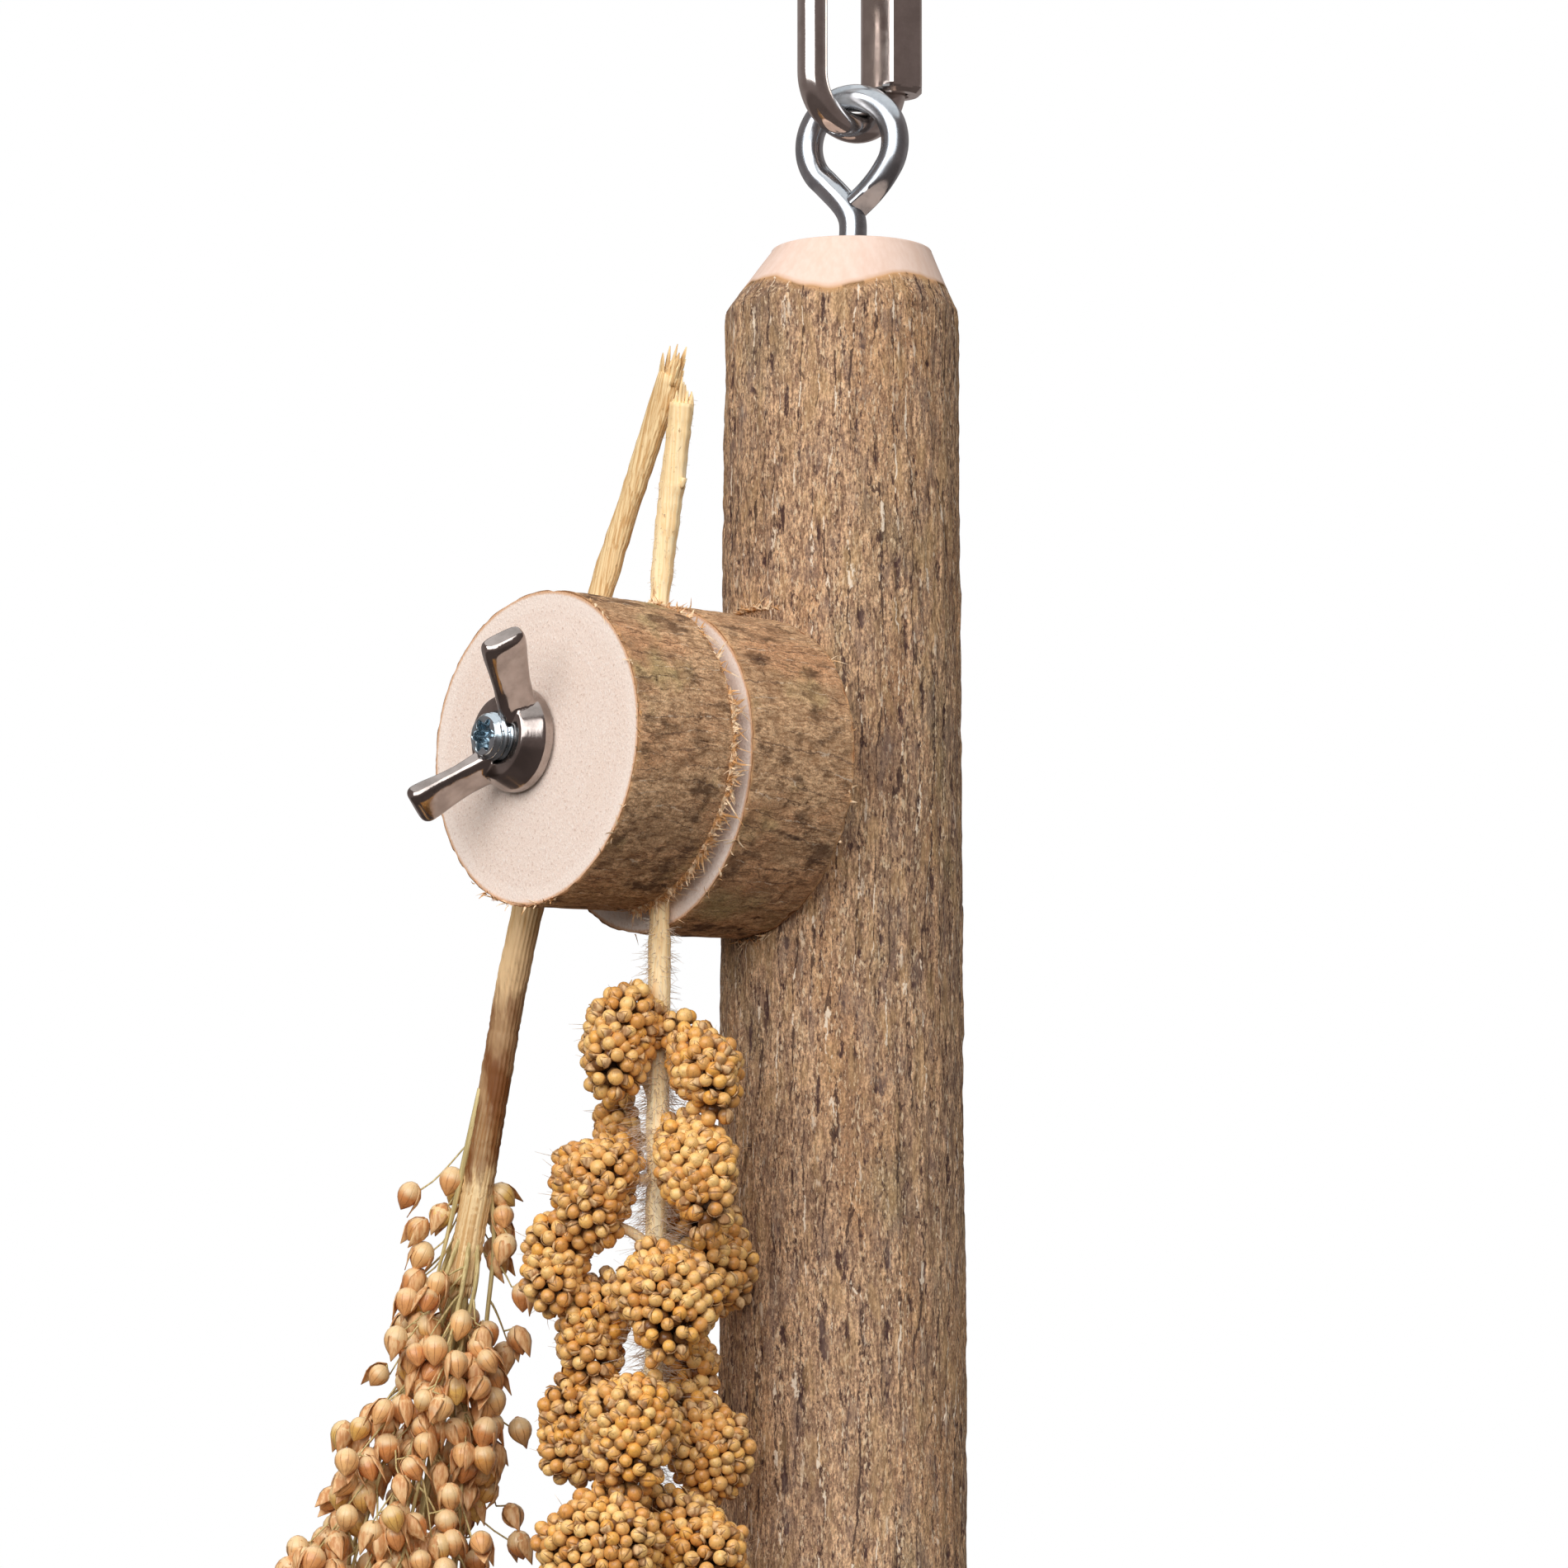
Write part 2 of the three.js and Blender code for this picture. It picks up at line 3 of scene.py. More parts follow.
import bpy
import numpy as np
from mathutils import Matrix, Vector


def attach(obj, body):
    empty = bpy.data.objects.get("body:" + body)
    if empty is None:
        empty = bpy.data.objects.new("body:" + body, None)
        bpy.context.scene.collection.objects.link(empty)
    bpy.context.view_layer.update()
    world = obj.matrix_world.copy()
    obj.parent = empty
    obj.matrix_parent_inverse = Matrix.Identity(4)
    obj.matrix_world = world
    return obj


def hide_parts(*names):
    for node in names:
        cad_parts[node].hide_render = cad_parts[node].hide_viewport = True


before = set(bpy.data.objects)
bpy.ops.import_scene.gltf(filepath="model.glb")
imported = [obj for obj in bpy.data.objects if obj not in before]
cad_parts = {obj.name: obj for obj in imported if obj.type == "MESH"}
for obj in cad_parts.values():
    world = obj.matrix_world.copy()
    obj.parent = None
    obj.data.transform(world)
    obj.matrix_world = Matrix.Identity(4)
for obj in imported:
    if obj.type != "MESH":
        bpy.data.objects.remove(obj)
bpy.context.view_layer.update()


# Studio: the holder hangs free before white and is seen from a little below through a long lens.
# One wide soft box stands over the camera, and the rest of the light comes evenly from above and in front.
# A dim tub of walls glows with its own painted light, graded darker to the right and below; it is there for
# the metal to mirror and shows nowhere else.
MM = 0.001
UP = np.array([0, 0, 1.0])
AZIMUTH, ELEVATION = math.radians(50.5), math.radians(-9.4)
AIM = MM * np.array([-5.46, -6.64, -115.85])


# Level way at a turn from the X axis
def heading(turn):
    return np.array([math.cos(turn), math.sin(turn), 0])


front, aside = heading(AZIMUTH - math.pi / 2), heading(AZIMUTH)
towards = math.cos(ELEVATION) * front + math.sin(ELEVATION) * UP

lens = bpy.data.cameras.new("studio_camera")
lens.lens, lens.sensor_width, lens.clip_end = 365.7, 36, 20
soft_box = bpy.data.lights.new("soft_box", "AREA")
soft_box.shape, soft_box.size, soft_box.size_y, soft_box.energy = "RECTANGLE", 2.0, 1.1, 20.0
for kit, away in ((lens, 2 * towards), (soft_box, 1.3 * front - 0.45 * aside + 0.5 * UP)):
    stand = bpy.data.objects.new(kit.name, kit)
    stand.location = AIM + away
    stand.rotation_euler = Vector(away).to_track_quat("Z", "Y").to_euler()
    bpy.context.collection.objects.link(stand)
bpy.context.scene.camera = bpy.data.objects["studio_camera"]
bpy.context.scene.view_settings.view_transform = "Standard"


# Linear colour of the red, green and blue that a screen shows
def tone(red, green, blue):
    screen = np.array([red, green, blue]) / 255
    linear = np.where(screen > 0.04045, ((screen + 0.055) / 1.055) ** 2.4, screen / 12.92)
    return [*linear.tolist(), 1]


# Shader node with its inputs linked or set, in the tree of its inputs where none is given
def fit(kind, inputs, tree=None, **settings):
    tree = tree or next(value.id_data for value in inputs.values() if isinstance(value, bpy.types.NodeSocket))
    node = tree.nodes.new("ShaderNode" + kind)
    for label, value in settings.items():
        setattr(node, label, value)
    for label, value in inputs.items():
        if isinstance(value, bpy.types.NodeSocket):
            tree.links.new(value, node.inputs[label])
        else:
            node.inputs[label].default_value = value
    return node


# Value moved from one range to another
def ranged(value, low, high, to_low=0.0, to_high=1.0):
    limits = {"Value": value, "From Min": low, "From Max": high, "To Min": to_low, "To Max": to_high}
    return fit("MapRange", limits, interpolation_type="SMOOTHSTEP").outputs[0]


# Colour between two colours
def mixed(share, first, second, how="MIX"):
    return fit("Mix", {0: share, 6: first, 7: second}, data_type="RGBA", blend_type=how).outputs[2]


# Colour that gives way to another as a value goes through a range
def washed(under, over, value, *limits):
    return mixed(ranged(value, *limits), under, over)


# Value worked out from others
def worked(how, *values):
    return fit("Math", dict(enumerate(values)), operation=how).outputs[0]


# Product of two values
def times(first, second):
    return worked("MULTIPLY", first, second)


# Value with a share of another added
def plus(value, other, share=1.0):
    return worked("MULTIPLY_ADD", other, share, value)


# Vector worked out from others, or the value that a dot product or a length gives
def vectors(how, *values):
    node = fit("VectorMath", dict(enumerate(values)), operation=how)
    return node.outputs["Value" if how in ("DOT_PRODUCT", "LENGTH") else "Vector"]


# Three values of a vector
def apart(vector):
    return fit("SeparateXYZ", {0: vector}).outputs


# Place on the object
def placed(tree):
    return fit("TexCoord", {}, tree).outputs["Object"]


white_room = bpy.data.worlds.new("white_room")
white_room.use_nodes = True
bpy.context.scene.world = white_room
tree = white_room.node_tree
tree.nodes.clear()
path = fit("LightPath", {}, tree).outputs
shown = worked("MAXIMUM", path["Is Camera Ray"], path["Is Glossy Ray"])
shown = worked("MAXIMUM", shown, path["Is Transmission Ray"])
way = fit("TexCoord", {}, tree).outputs["Generated"]
skyward = apart(way)[2]
forward = vectors("DOT_PRODUCT", way, front - 0.15 * aside)
level = times(ranged(forward, -0.1, 1, 0, 0.72), ranged(skyward, -0.4, 0.05))
fill = plus(ranged(skyward, -0.25, 0.8, 0, 0.52), level)
glow = fit("Background", {"Color": tone(253, 250, 246), "Strength": fill})
white = fit("Background", {"Color": (1, 1, 1, 1), "Strength": 1}, tree)
either = fit("MixShader", {0: shown, 1: glow.outputs[0], 2: white.outputs[0]})
fit("OutputWorld", {"Surface": either.outputs[0]})


# Mesh object from points in millimetres, with a finish, and sharp at edges over an angle in degrees
def lay(name, points, faces, finish=None, sharp=None):
    mesh = bpy.data.meshes.new(name)
    mesh.from_pydata((np.asarray(points, float) * MM).tolist(), [], faces)
    mesh.shade_smooth()
    if finish:
        mesh.materials.append(finish)
    if sharp:
        mesh.set_sharp_from_angle(angle=math.radians(sharp))
    piece = bpy.data.objects.new(name, mesh)
    bpy.context.collection.objects.link(piece)
    return piece


# Material with its nodes and its shader
def new_finish(name):
    finish = bpy.data.materials.new(name)
    finish.use_nodes = True
    return finish, finish.node_tree, finish.node_tree.nodes["Principled BSDF"]


# Even turns round a circle
def turns(count):
    return 2 * np.pi * np.arange(count) / count


# Ring of points, level or with its second axis upward
def ring(x, y, z, radius, turn, second=1):
    points = np.column_stack([x + 0 * turn, y + 0 * turn, z + 0 * turn])
    points[:, 0] += radius * np.cos(turn)
    points[:, second] += radius * np.sin(turn)
    return points


# Skins over stacks of rings with the same number of points, with ends where the stacks don't close
def skinned(stacks, closed=False):
    stacks = np.asarray(stacks, float)
    stacks = stacks.reshape(-1, *stacks.shape[-3:])
    index = np.arange(stacks.size // 3).reshape(stacks.shape[:3])
    near, far = (index, np.roll(index, -1, 1)) if closed else (index[:, :-1], index[:, 1:])
    faces = np.stack([near, far, np.roll(far, -1, 2), np.roll(near, -1, 2)], -1).reshape(-1, 4).tolist()
    if not closed:
        faces += index[:, 0].tolist() + index[:, -1, ::-1].tolist()
    return stacks.reshape(-1, 3), faces


FLOOR_Z, FLOOR_CORNERS = -1200, ((-500, -500), (500, -500), (500, 500), (-500, 500))
floor_paint, tree, shader = new_finish("pale_floor")
shader.inputs["Base Color"].default_value = tone(216, 212, 206)
shader.inputs["Roughness"].default_value = 0.8
floor = lay("floor", [(x, y, FLOOR_Z) for x, y in FLOOR_CORNERS], [(0, 1, 2, 3)], floor_paint)
floor.visible_glossy = False

WALL_R, WALL_LOW, WALL_HIGH, WALL_PANELS = 2900, -1600, 2600, 36
wall_paint, tree, shader = new_finish("dim_wall")
tree.nodes.clear()
place = placed(tree)
to_front, to_right = (vectors("DOT_PRODUCT", place, way) for way in (front, aside))
paint = washed(tone(128, 116, 113), tone(112, 100, 97), to_right, -2.5, 2.5)
paint = washed(paint, tone(146, 137, 134), to_front, -2.2, 0.8, 1, 0)
paint = washed(paint, tone(92, 82, 79), apart(place)[2], -1.6, -0.9, 1, 0)
glow = fit("Emission", {"Color": paint, "Strength": 1})
fit("OutputMaterial", {"Surface": glow.outputs[0]})
wall_points, wall_faces = skinned([ring(0, 0, z, WALL_R, turns(WALL_PANELS)) for z in (WALL_LOW, WALL_HIGH)])
walls = lay("dim_walls", wall_points, wall_faces[:-1], wall_paint)
walls.visible_camera = walls.visible_diffuse = walls.visible_shadow = walls.visible_transmission = False


# Quick link: an oval of round steel wire, bent cold and polished, with an opening in its rear leg.
# A cage bar or hook goes through it, and the screw eye hangs in its lower bend.
LINK_WIRE, LINK_BEND, LINK_SIDES = 3.8, 6.5, 36
LINK_LOW, LINK_HIGH = -25.3, -4.7
LINK_END_LOW, LINK_END_HIGH = -23.8, -18.3
LINK_THREAD_PITCH, LINK_THREAD_LENGTH, LINK_THREAD_CUT, LINK_END_CUT = 0.7, 6.0, 0.25, 0.5


# Ways of length 1
def unit(ways):
    return ways / np.linalg.norm(ways, axis=-1, keepdims=True)


# Closed skins along lines of points: wide across side_on, thick along it, long edges drawn in by cup
def rods(lines, wide, thick, sides, side_on, cup=0.0):
    lines = np.asarray(lines, float)
    way = unit(np.gradient(lines, axis=1))
    across = unit(np.cross(way, np.broadcast_to(side_on, lines.shape)))
    out = np.cross(across, way)
    turn = turns(sides)
    wide, thick = (part if np.ndim(part) in (0, 3) else np.asarray(part)[..., None] for part in (wide, thick))
    shape = (*lines.shape[:2], sides)
    aside_by = np.broadcast_to(wide, shape) / 2 * np.cos(turn)
    out_by = np.broadcast_to(thick, shape) / 2 * np.sin(turn) - cup * aside_by ** 2
    rings = lines[:, :, None] + aside_by[..., None] * across[:, :, None]
    return skinned(rings + out_by[..., None] * out[:, :, None])


# Effect shared by materials: its node group and its inputs
def new_effect(name, takes):
    effect = bpy.data.node_groups.new(name, "ShaderNodeTree")
    for label, value in takes.items():
        kind = "Float" if np.ndim(value) == 0 else ("Vector" if len(value) == 3 else "Color")
        socket = effect.interface.new_socket(label, in_out="INPUT", socket_type="NodeSocket" + kind)
        socket.default_value = value
    return effect, effect.nodes.new("NodeGroupInput").outputs


# What an effect gives
def give(effect, **values):
    for label, value in values.items():
        kind = "Color" if value.type == "RGBA" else "Float"
        effect.interface.new_socket(label, in_out="OUTPUT", socket_type="NodeSocket" + kind)
    given = effect.nodes.new("NodeGroupOutput").inputs
    for label, value in values.items():
        effect.links.new(value, given[label])


# Random grain at so many cells to the metre along each axis
def grain(place, cells, detail=3.0, rough=0.55, bent=0.0):
    spread = vectors("MULTIPLY", place, cells)
    field = {"Vector": spread, "Scale": 1, "Detail": detail, "Roughness": rough, "Distortion": bent}
    return fit("TexNoise", field).outputs[0]


# Colour and roughness on a shader, with relief as strength, depth in metres and height, and its shine
def surface(shader, colour, rough, relief=None, shine=0.5, **settings):
    tree = shader.id_data
    tree.links.new(colour, shader.inputs["Base Color"])
    tree.links.new(rough, shader.inputs["Roughness"])
    if relief:
        bump = fit("Bump", dict(zip(("Strength", "Distance", "Height"), relief)), **settings)
        tree.links.new(bump.outputs[0], shader.inputs["Normal"])
    shader.inputs["Specular IOR Level"].default_value = shine


# Smudges and hairline scratches that handling leaves on bare metal
handling, taken = new_effect("handling_marks", {"Place": (0, 0, 0)})
smudge = grain(taken["Place"], (300, 300, 300), 5, 0.6)
give(handling, Smudge=smudge, Scratch=grain(taken["Place"], (4000, 4000, 240), 2, 0.5, 0.4))


# Bare metal with handling marks in its gloss
def metal_finish(name, pale, dull, gloss, matt):
    finish, tree, shader = new_finish(name)
    marks = fit("Group", {"Place": placed(tree)}, node_tree=handling).outputs
    skin = washed(pale, dull, marks["Smudge"], 0.35, 0.7)
    rough = ranged(marks["Smudge"], 0.3, 0.75, gloss, matt)
    surface(shader, skin, rough, (0.12, 0.00002, marks["Scratch"]))
    shader.inputs["Metallic"].default_value = 1
    return finish


# Points in the plane of the link
def in_link(y, z):
    return np.column_stack([0 * z, y + 0 * z, z])


polished_steel = metal_finish("polished_steel", tone(226, 219, 215), tone(203, 195, 190), 0.07, 0.17)
bend_turn = np.radians(np.linspace(0, 180, 41))
bend_y, bend_z = LINK_BEND * np.cos(bend_turn), LINK_BEND * np.sin(bend_turn)
thread_run = np.arange(0, LINK_THREAD_LENGTH, LINK_THREAD_PITCH / 4)
link_line = np.vstack([
    [[0, LINK_BEND, LINK_END_LOW]], in_link(bend_y, LINK_LOW - bend_z), in_link(-bend_y, LINK_HIGH + bend_z),
    in_link(LINK_BEND, LINK_END_HIGH + thread_run[::-1]),
])
link_width = np.full(len(link_line), LINK_WIRE)
link_width[-len(thread_run):] -= LINK_THREAD_CUT * (1 + np.cos(2 * np.pi * thread_run / LINK_THREAD_PITCH))
link_width[[0, -1]] -= LINK_END_CUT
link_skin = rods([link_line], link_width, link_width, LINK_SIDES, (1, 0, 0))
quick_link = lay("quick_link_wire", *link_skin, polished_steel, 50)
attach(quick_link, "link")
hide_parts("quick_link")


# Sleeve of the quick link: hexagon steel bar, drilled and tapped, with its end corners turned off.
# It screws along the rear leg and closes the opening of the link.
SLEEVE_FLATS, SLEEVE_LENGTH, SLEEVE_CHAMFER = 7.7, 14.0, 1.0
SLEEVE_FOOT, SLEEVE_BORE, SLEEVE_LEAD_IN = -26.8, 4.3, 0.3
SLEEVE_CORNER_AT, SLEEVE_EDGE_BREAK = -39.5, 0.13
within_flat = np.array([-30, -28.3, -26.8, -26.3, -13, 0, 13, 26.3, 26.8, 28.3])
hex_turn = np.radians((np.arange(6)[:, None] * 60 + within_flat + 30).ravel() + SLEEVE_CORNER_AT)
corner_reach = SLEEVE_FLATS / 2 / math.cos(math.radians(30))
hex_reach = SLEEVE_FLATS / 2 / np.cos(np.radians(np.tile(within_flat, 6)))
hex_reach = np.minimum(hex_reach, corner_reach - SLEEVE_EDGE_BREAK)
bore_r, end_r = SLEEVE_BORE / 2, corner_reach - SLEEVE_CHAMFER
cuts = np.linspace(0, SLEEVE_CHAMFER, 5)
sleeve_profile = [(bore_r, SLEEVE_LENGTH - SLEEVE_LEAD_IN), (bore_r + SLEEVE_LEAD_IN, SLEEVE_LENGTH)]
sleeve_profile += [(end_r + cut, SLEEVE_LENGTH - cut) for cut in cuts]
sleeve_profile += [(corner_reach, height) for height in np.linspace(SLEEVE_LENGTH - 1.2, 1.2, 9)]
sleeve_profile += [(end_r + cut, cut) for cut in cuts[::-1]]
sleeve_profile += [(bore_r + SLEEVE_LEAD_IN, 0), (bore_r, SLEEVE_LEAD_IN)]
sleeve_rings = [
    ring(0, LINK_BEND, SLEEVE_FOOT + height, np.minimum(hex_reach, reach), hex_turn)
    for reach, height in sleeve_profile
]
sleeve = lay("link_sleeve_hexagon", *skinned(sleeve_rings, closed=True), polished_steel, 16)
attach(sleeve, "sleeve")
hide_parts("link_sleeve")


# Screw eye: zinc-plated wire bent to a ring, its cut end brought back to the neck, over a screwed shank.
# The shank is turned into the top end of the branch.
EYE_WIRE, EYE_RING, EYE_MID, EYE_RISE = 3.5, 6.0, -33.95, 13.6
EYE_NECK, EYE_DEPTH, EYE_TURN, EYE_SIDES, TAIL_RINGS = 4.0, 25.0, math.radians(25), 32, 24


# Smooth line through points, with the same number of steps in each span
def smooth_line(points, steps):
    knots = np.asarray(points, float)
    knots = np.vstack([2 * knots[0] - knots[1], knots, 2 * knots[-1] - knots[-2]])
    gap = np.linalg.norm(np.diff(knots, axis=0), axis=1)[:, None]
    slope = np.diff(knots, axis=0) / gap
    lean = slope[:-1] - (knots[2:] - knots[:-2]) / (gap[:-1] + gap[1:]) + slope[1:]
    run = np.linspace(0, 1, steps, endpoint=False)[None, :, None]
    first, second, span = knots[1:-2, None], knots[2:-1, None], gap[1:-1, None]
    line = (2 * run ** 3 - 3 * run ** 2 + 1) * first + (3 * run ** 2 - 2 * run ** 3) * second
    bend = (run ** 3 - 2 * run ** 2 + run) * lean[:-1, None] + (run ** 3 - run ** 2) * lean[1:, None]
    return np.vstack([(line + span * bend).reshape(-1, 3), knots[-2]])


eye_along, eye_face = heading(EYE_TURN), heading(EYE_TURN + math.pi / 2)


# Point in the plane of the eye
def in_eye(side, height):
    return side * eye_along + (EYE_MID + height) * UP


eye_points = [in_eye(0, -EYE_RISE - EYE_DEPTH), in_eye(0, -EYE_RISE), in_eye(0, EYE_NECK - EYE_RISE)]
for turn in np.radians(np.arange(232, -44, -15)):
    eye_points.append(in_eye(EYE_RING * math.cos(turn), EYE_RING * math.sin(turn)))
eye_points += [in_eye(2.3, -6.5), in_eye(0.6, -7.9)]
eye_skin, eye_faces = rods([smooth_line(eye_points, 8)], EYE_WIRE, EYE_WIRE, EYE_SIDES, eye_face)
nipped = unit(0.36 * eye_along - 0.93 * UP + 1.1 * towards)
near_tail = np.arange(len(eye_skin)) >= len(eye_skin) - EYE_SIDES * TAIL_RINGS
past_cut = np.maximum((eye_skin - in_eye(4.9, -5.7) + 0.8 * eye_face) @ nipped, 0) * near_tail
bright_zinc = metal_finish("bright_zinc", tone(200, 206, 212), tone(164, 171, 178), 0.15, 0.3)
screw_eye = lay("screw_eye_wire", eye_skin - past_cut[:, None] * nipped, eye_faces, bright_zinc, 38)
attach(screw_eye, "holder")
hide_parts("screw_eye")


# Branch: a length of round wood with its bark on, sawn square at the foot and turned to a cone at the top.
# The cut of the cone runs from bare pale wood into the bark along a wavy line of brown bast.
# Short dark fissures and pale flecks follow each other up the bark in lines; a flat is planed for the disc.
BRANCH_X, BRANCH_Y, BRANCH_TOP, BRANCH_LENGTH = -0.9, -1.0, -47.55, 250.0
TOP_R, CONE_DEPTH, SHOULDER_R, FOOT_R = 9.9, 7.9, 14.5, 16.0
PILOT_R, PILOT_DEPTH, TOP_ROUND, TOP_ROUND_DEPTH = 1.8, 25.6, 0.55, 0.45
BARK_COLUMNS, BARK_ROWS, BARE_ROWS, BARK_LINES, FLAT_FIBRES = 344, 246, 14, 36, 90
DISC_MID_Z, SEAT_Y, SEAT_R = -116.25, -15.267, 20.8
BARK_R, FLAT_END_R, PILOT_LIP, PLANE_MARKS = 15.2, 14.85, 0.2, 0.05
GIRTH = 2 * np.pi * BARK_R
BAST = tone(206, 158, 112)


# Smooth random values from 0 to 1 over unrolled bark, the same where it meets itself
def weathered(around, along, cells_around, cells_along, seed):
    lattice = np.random.default_rng(seed).random((cells_along + 2, cells_around))
    column, row = (around % 1) * cells_around, np.clip(along, 0, 1) * cells_along
    left, low = np.floor(column).astype(int) % cells_around, np.floor(row).astype(int)
    part, rise = column - np.floor(column), row - low
    part, rise = part * part * (3 - 2 * part), rise * rise * (3 - 2 * rise)
    right = (left + 1) % cells_around
    below = lattice[low, left] * (1 - part) + lattice[low, right] * part
    above = lattice[low + 1, left] * (1 - part) + lattice[low + 1, right] * part
    return below * (1 - rise) + above * rise


# Smooth step from 0 to 1 between two values
def eased(value, low, high):
    share = np.clip((value - low) / (high - low), 0, 1)
    return share * share * (3 - 2 * share)


# Sideways wander of the lines of the bark, in turns of the branch
def wander(around, along):
    return 0.007 * np.sin(2 * np.pi * (3.3 * along + 2 * around))


# Thin upright marks that follow the lines of the bark
def line_marks(around, along, count, wide, tall, seed):
    marks = np.zeros_like(around)
    for line, level, width, length, shift, power in np.random.default_rng(seed).random((count, 6)):
        half = (wide[0] + (wide[1] - wide[0]) * width) / 2
        reach = (tall[0] + (tall[1] - tall[0]) * length ** 2) / 2
        up = (along - level) * BRANCH_LENGTH
        rows = np.nonzero(np.abs(up[:, 0]) < 2 * reach)[0]
        if len(rows):
            block = slice(rows[0], rows[-1] + 1)
            place = (math.floor(line * BARK_LINES) + (shift - 0.5) * 0.45) / BARK_LINES
            side = around[block] + wander(around[block], along[block]) - place
            side = ((side + 0.5) % 1 - 0.5) * GIRTH
            mark = np.exp(-((side / half) ** 2) - (up[block] / reach) ** 4)
            marks[block] = np.maximum(marks[block], (0.45 + 0.55 * power) * mark)
    return marks


# Values kept on the points of a mesh for its material to read, with 0 on those that follow
def keep(piece, name, values):
    values = np.asarray(values, float)
    kind, field = ("FLOAT", "value") if values.ndim == 1 else ("FLOAT_VECTOR", "vector")
    rest = len(piece.data.vertices) - len(values)
    values = np.concatenate([values, np.zeros((rest, *values.shape[1:]))])
    piece.data.attributes.new(name, kind, "POINT").data.foreach_set(field, values.ravel())


# Rings stacked to a skin, each with the values that its material reads
class Stack:
    def __init__(self, turn, second, **usual):
        self.turn, self.second, self.usual = turn, second, usual
        self.rings, self.values = [], {label: [] for label in usual}

    def add(self, x, y, z, radius, **values):
        self.rings.append(ring(x, y, z, radius, self.turn, self.second))
        for label, value in (self.usual | values).items():
            self.values[label].append(value + 0 * self.turn)

    def keep_on(self, piece):
        for label, rows in self.values.items():
            keep(piece, label, np.ravel(rows))


around = np.arange(BARK_COLUMNS) / BARK_COLUMNS
angle = 2 * np.pi * around
off_eye = BRANCH_X * np.cos(angle) + BRANCH_Y * np.sin(angle)
eye_gap = BRANCH_X ** 2 + BRANCH_Y ** 2
branch_skin = Stack(angle, 1, crack=0.0, fleck=0.0, rise=0.0, lined=0.0, bast=0.0)


# Radius of the branch at a depth below its top, where the cone is turned about the screw eye
def branch_radius(depth):
    off = np.clip(1 - depth / CONE_DEPTH, 0, 1)
    turned_r = TOP_R + (SHOULDER_R - TOP_R) * depth / CONE_DEPTH
    cone = np.sqrt(off ** 2 * (off_eye ** 2 - eye_gap) + turned_r ** 2) - off * off_eye
    return np.minimum(cone, SHOULDER_R + (FOOT_R - SHOULDER_R) * np.clip(depth / BRANCH_LENGTH, 0, 1))


# Row of the branch's skin round an axis that may lie off its middle
def branch_row(radius, depth, off=0.0, **values):
    branch_skin.add(BRANCH_X * (1 - off), BRANCH_Y * (1 - off), BRANCH_TOP - depth, radius, **values)


from_front = (angle - math.atan2(front[1], front[0]) + np.pi) % (2 * np.pi) - np.pi
edge_depth = 5.1 + 2.6 * np.exp(-((from_front + 0.12) / 0.42) ** 2) + 0.9 * eased(np.abs(from_front), 1, 1.7)
edge_depth = edge_depth + 0.55 * (weathered(around, 0 * around, 40, 1, 3) - 0.5)
bark_run = np.linspace(0, 1, BARK_ROWS)
bark_run = bark_run * (0.75 + 0.25 * bark_run)
bark_depth = edge_depth + (BRANCH_LENGTH - 0.3 - edge_depth) * bark_run[:, None]
bark_around, bark_along = np.broadcast_to(around, bark_depth.shape), bark_depth / BRANCH_LENGTH
on_lines = bark_around + wander(bark_around, bark_along)
ribs = weathered(on_lines, bark_along, 72, 30, 11) - 0.5
fine_ribs = weathered(bark_around, bark_along, 168, 130, 12) - 0.5
swell = weathered(bark_around, bark_along, 5, 7, 13) - 0.5
off_line = np.abs(on_lines * BARK_LINES - np.round(on_lines * BARK_LINES)) * GIRTH / BARK_LINES
lined = np.exp(-((off_line / 0.55) ** 2)) * (0.35 + 0.65 * weathered(bark_around, bark_along, 36, 24, 14))
fissures = line_marks(bark_around, bark_along, 1000, (0.35, 1.0), (0.9, 6.0), 16)
flecks = line_marks(bark_around, bark_along, 1000, (0.3, 0.6), (0.7, 4.0), 17) * (1 - fissures)
grown = eased(bark_depth - CONE_DEPTH, -1, 1.2)
bark_relief = 0.34 * ribs + 0.3 * fine_ribs - 0.4 * fissures + 0.14 * flecks
bark_rise = 0.4 * swell * eased(bark_depth, 2, 18) + (0.15 + 0.85 * grown) * bark_relief

lip_r, rim_r = PILOT_R + PILOT_LIP, branch_radius(TOP_ROUND_DEPTH) - TOP_ROUND
for radius, depth in ((0.05, PILOT_DEPTH), (PILOT_R, PILOT_DEPTH), (PILOT_R, 0.35), (lip_r, 0.0)):
    branch_row(radius, depth, off=1)
for share in (0.15, 0.35, 0.55, 0.75, 0.9):
    branch_row(lip_r + (rim_r - lip_r - 0.05) * share, 0.0, off=1 - share)
for turn in np.radians([0, 22, 45, 68, 90]):
    branch_row(rim_r + TOP_ROUND * math.sin(turn), TOP_ROUND_DEPTH * (1 - math.cos(turn)))
for share in np.linspace(0.08, 1, BARE_ROWS):
    depth = TOP_ROUND_DEPTH + (edge_depth - TOP_ROUND_DEPTH) * share
    knife = 0.06 * (weathered(around, 0 * around + share, 34, 3, 22) - 0.5)
    branch_row(branch_radius(depth) + knife, depth, bast=eased(share, 0.9, 0.97))
bark_starts = len(branch_skin.rings) - 1
for row, depth in enumerate(bark_depth):
    branch_row(
        branch_radius(depth) + bark_rise[row] * (row > 0), depth, crack=fissures[row], fleck=flecks[row],
        rise=ribs[row] + fine_ribs[row] + swell[row], lined=lined[row],
        bast=eased(depth - edge_depth, 0.8, 0.15),
    )
bark_ends = len(branch_skin.rings)
foot_r = branch_radius(bark_depth[-1]) + bark_rise[-1]
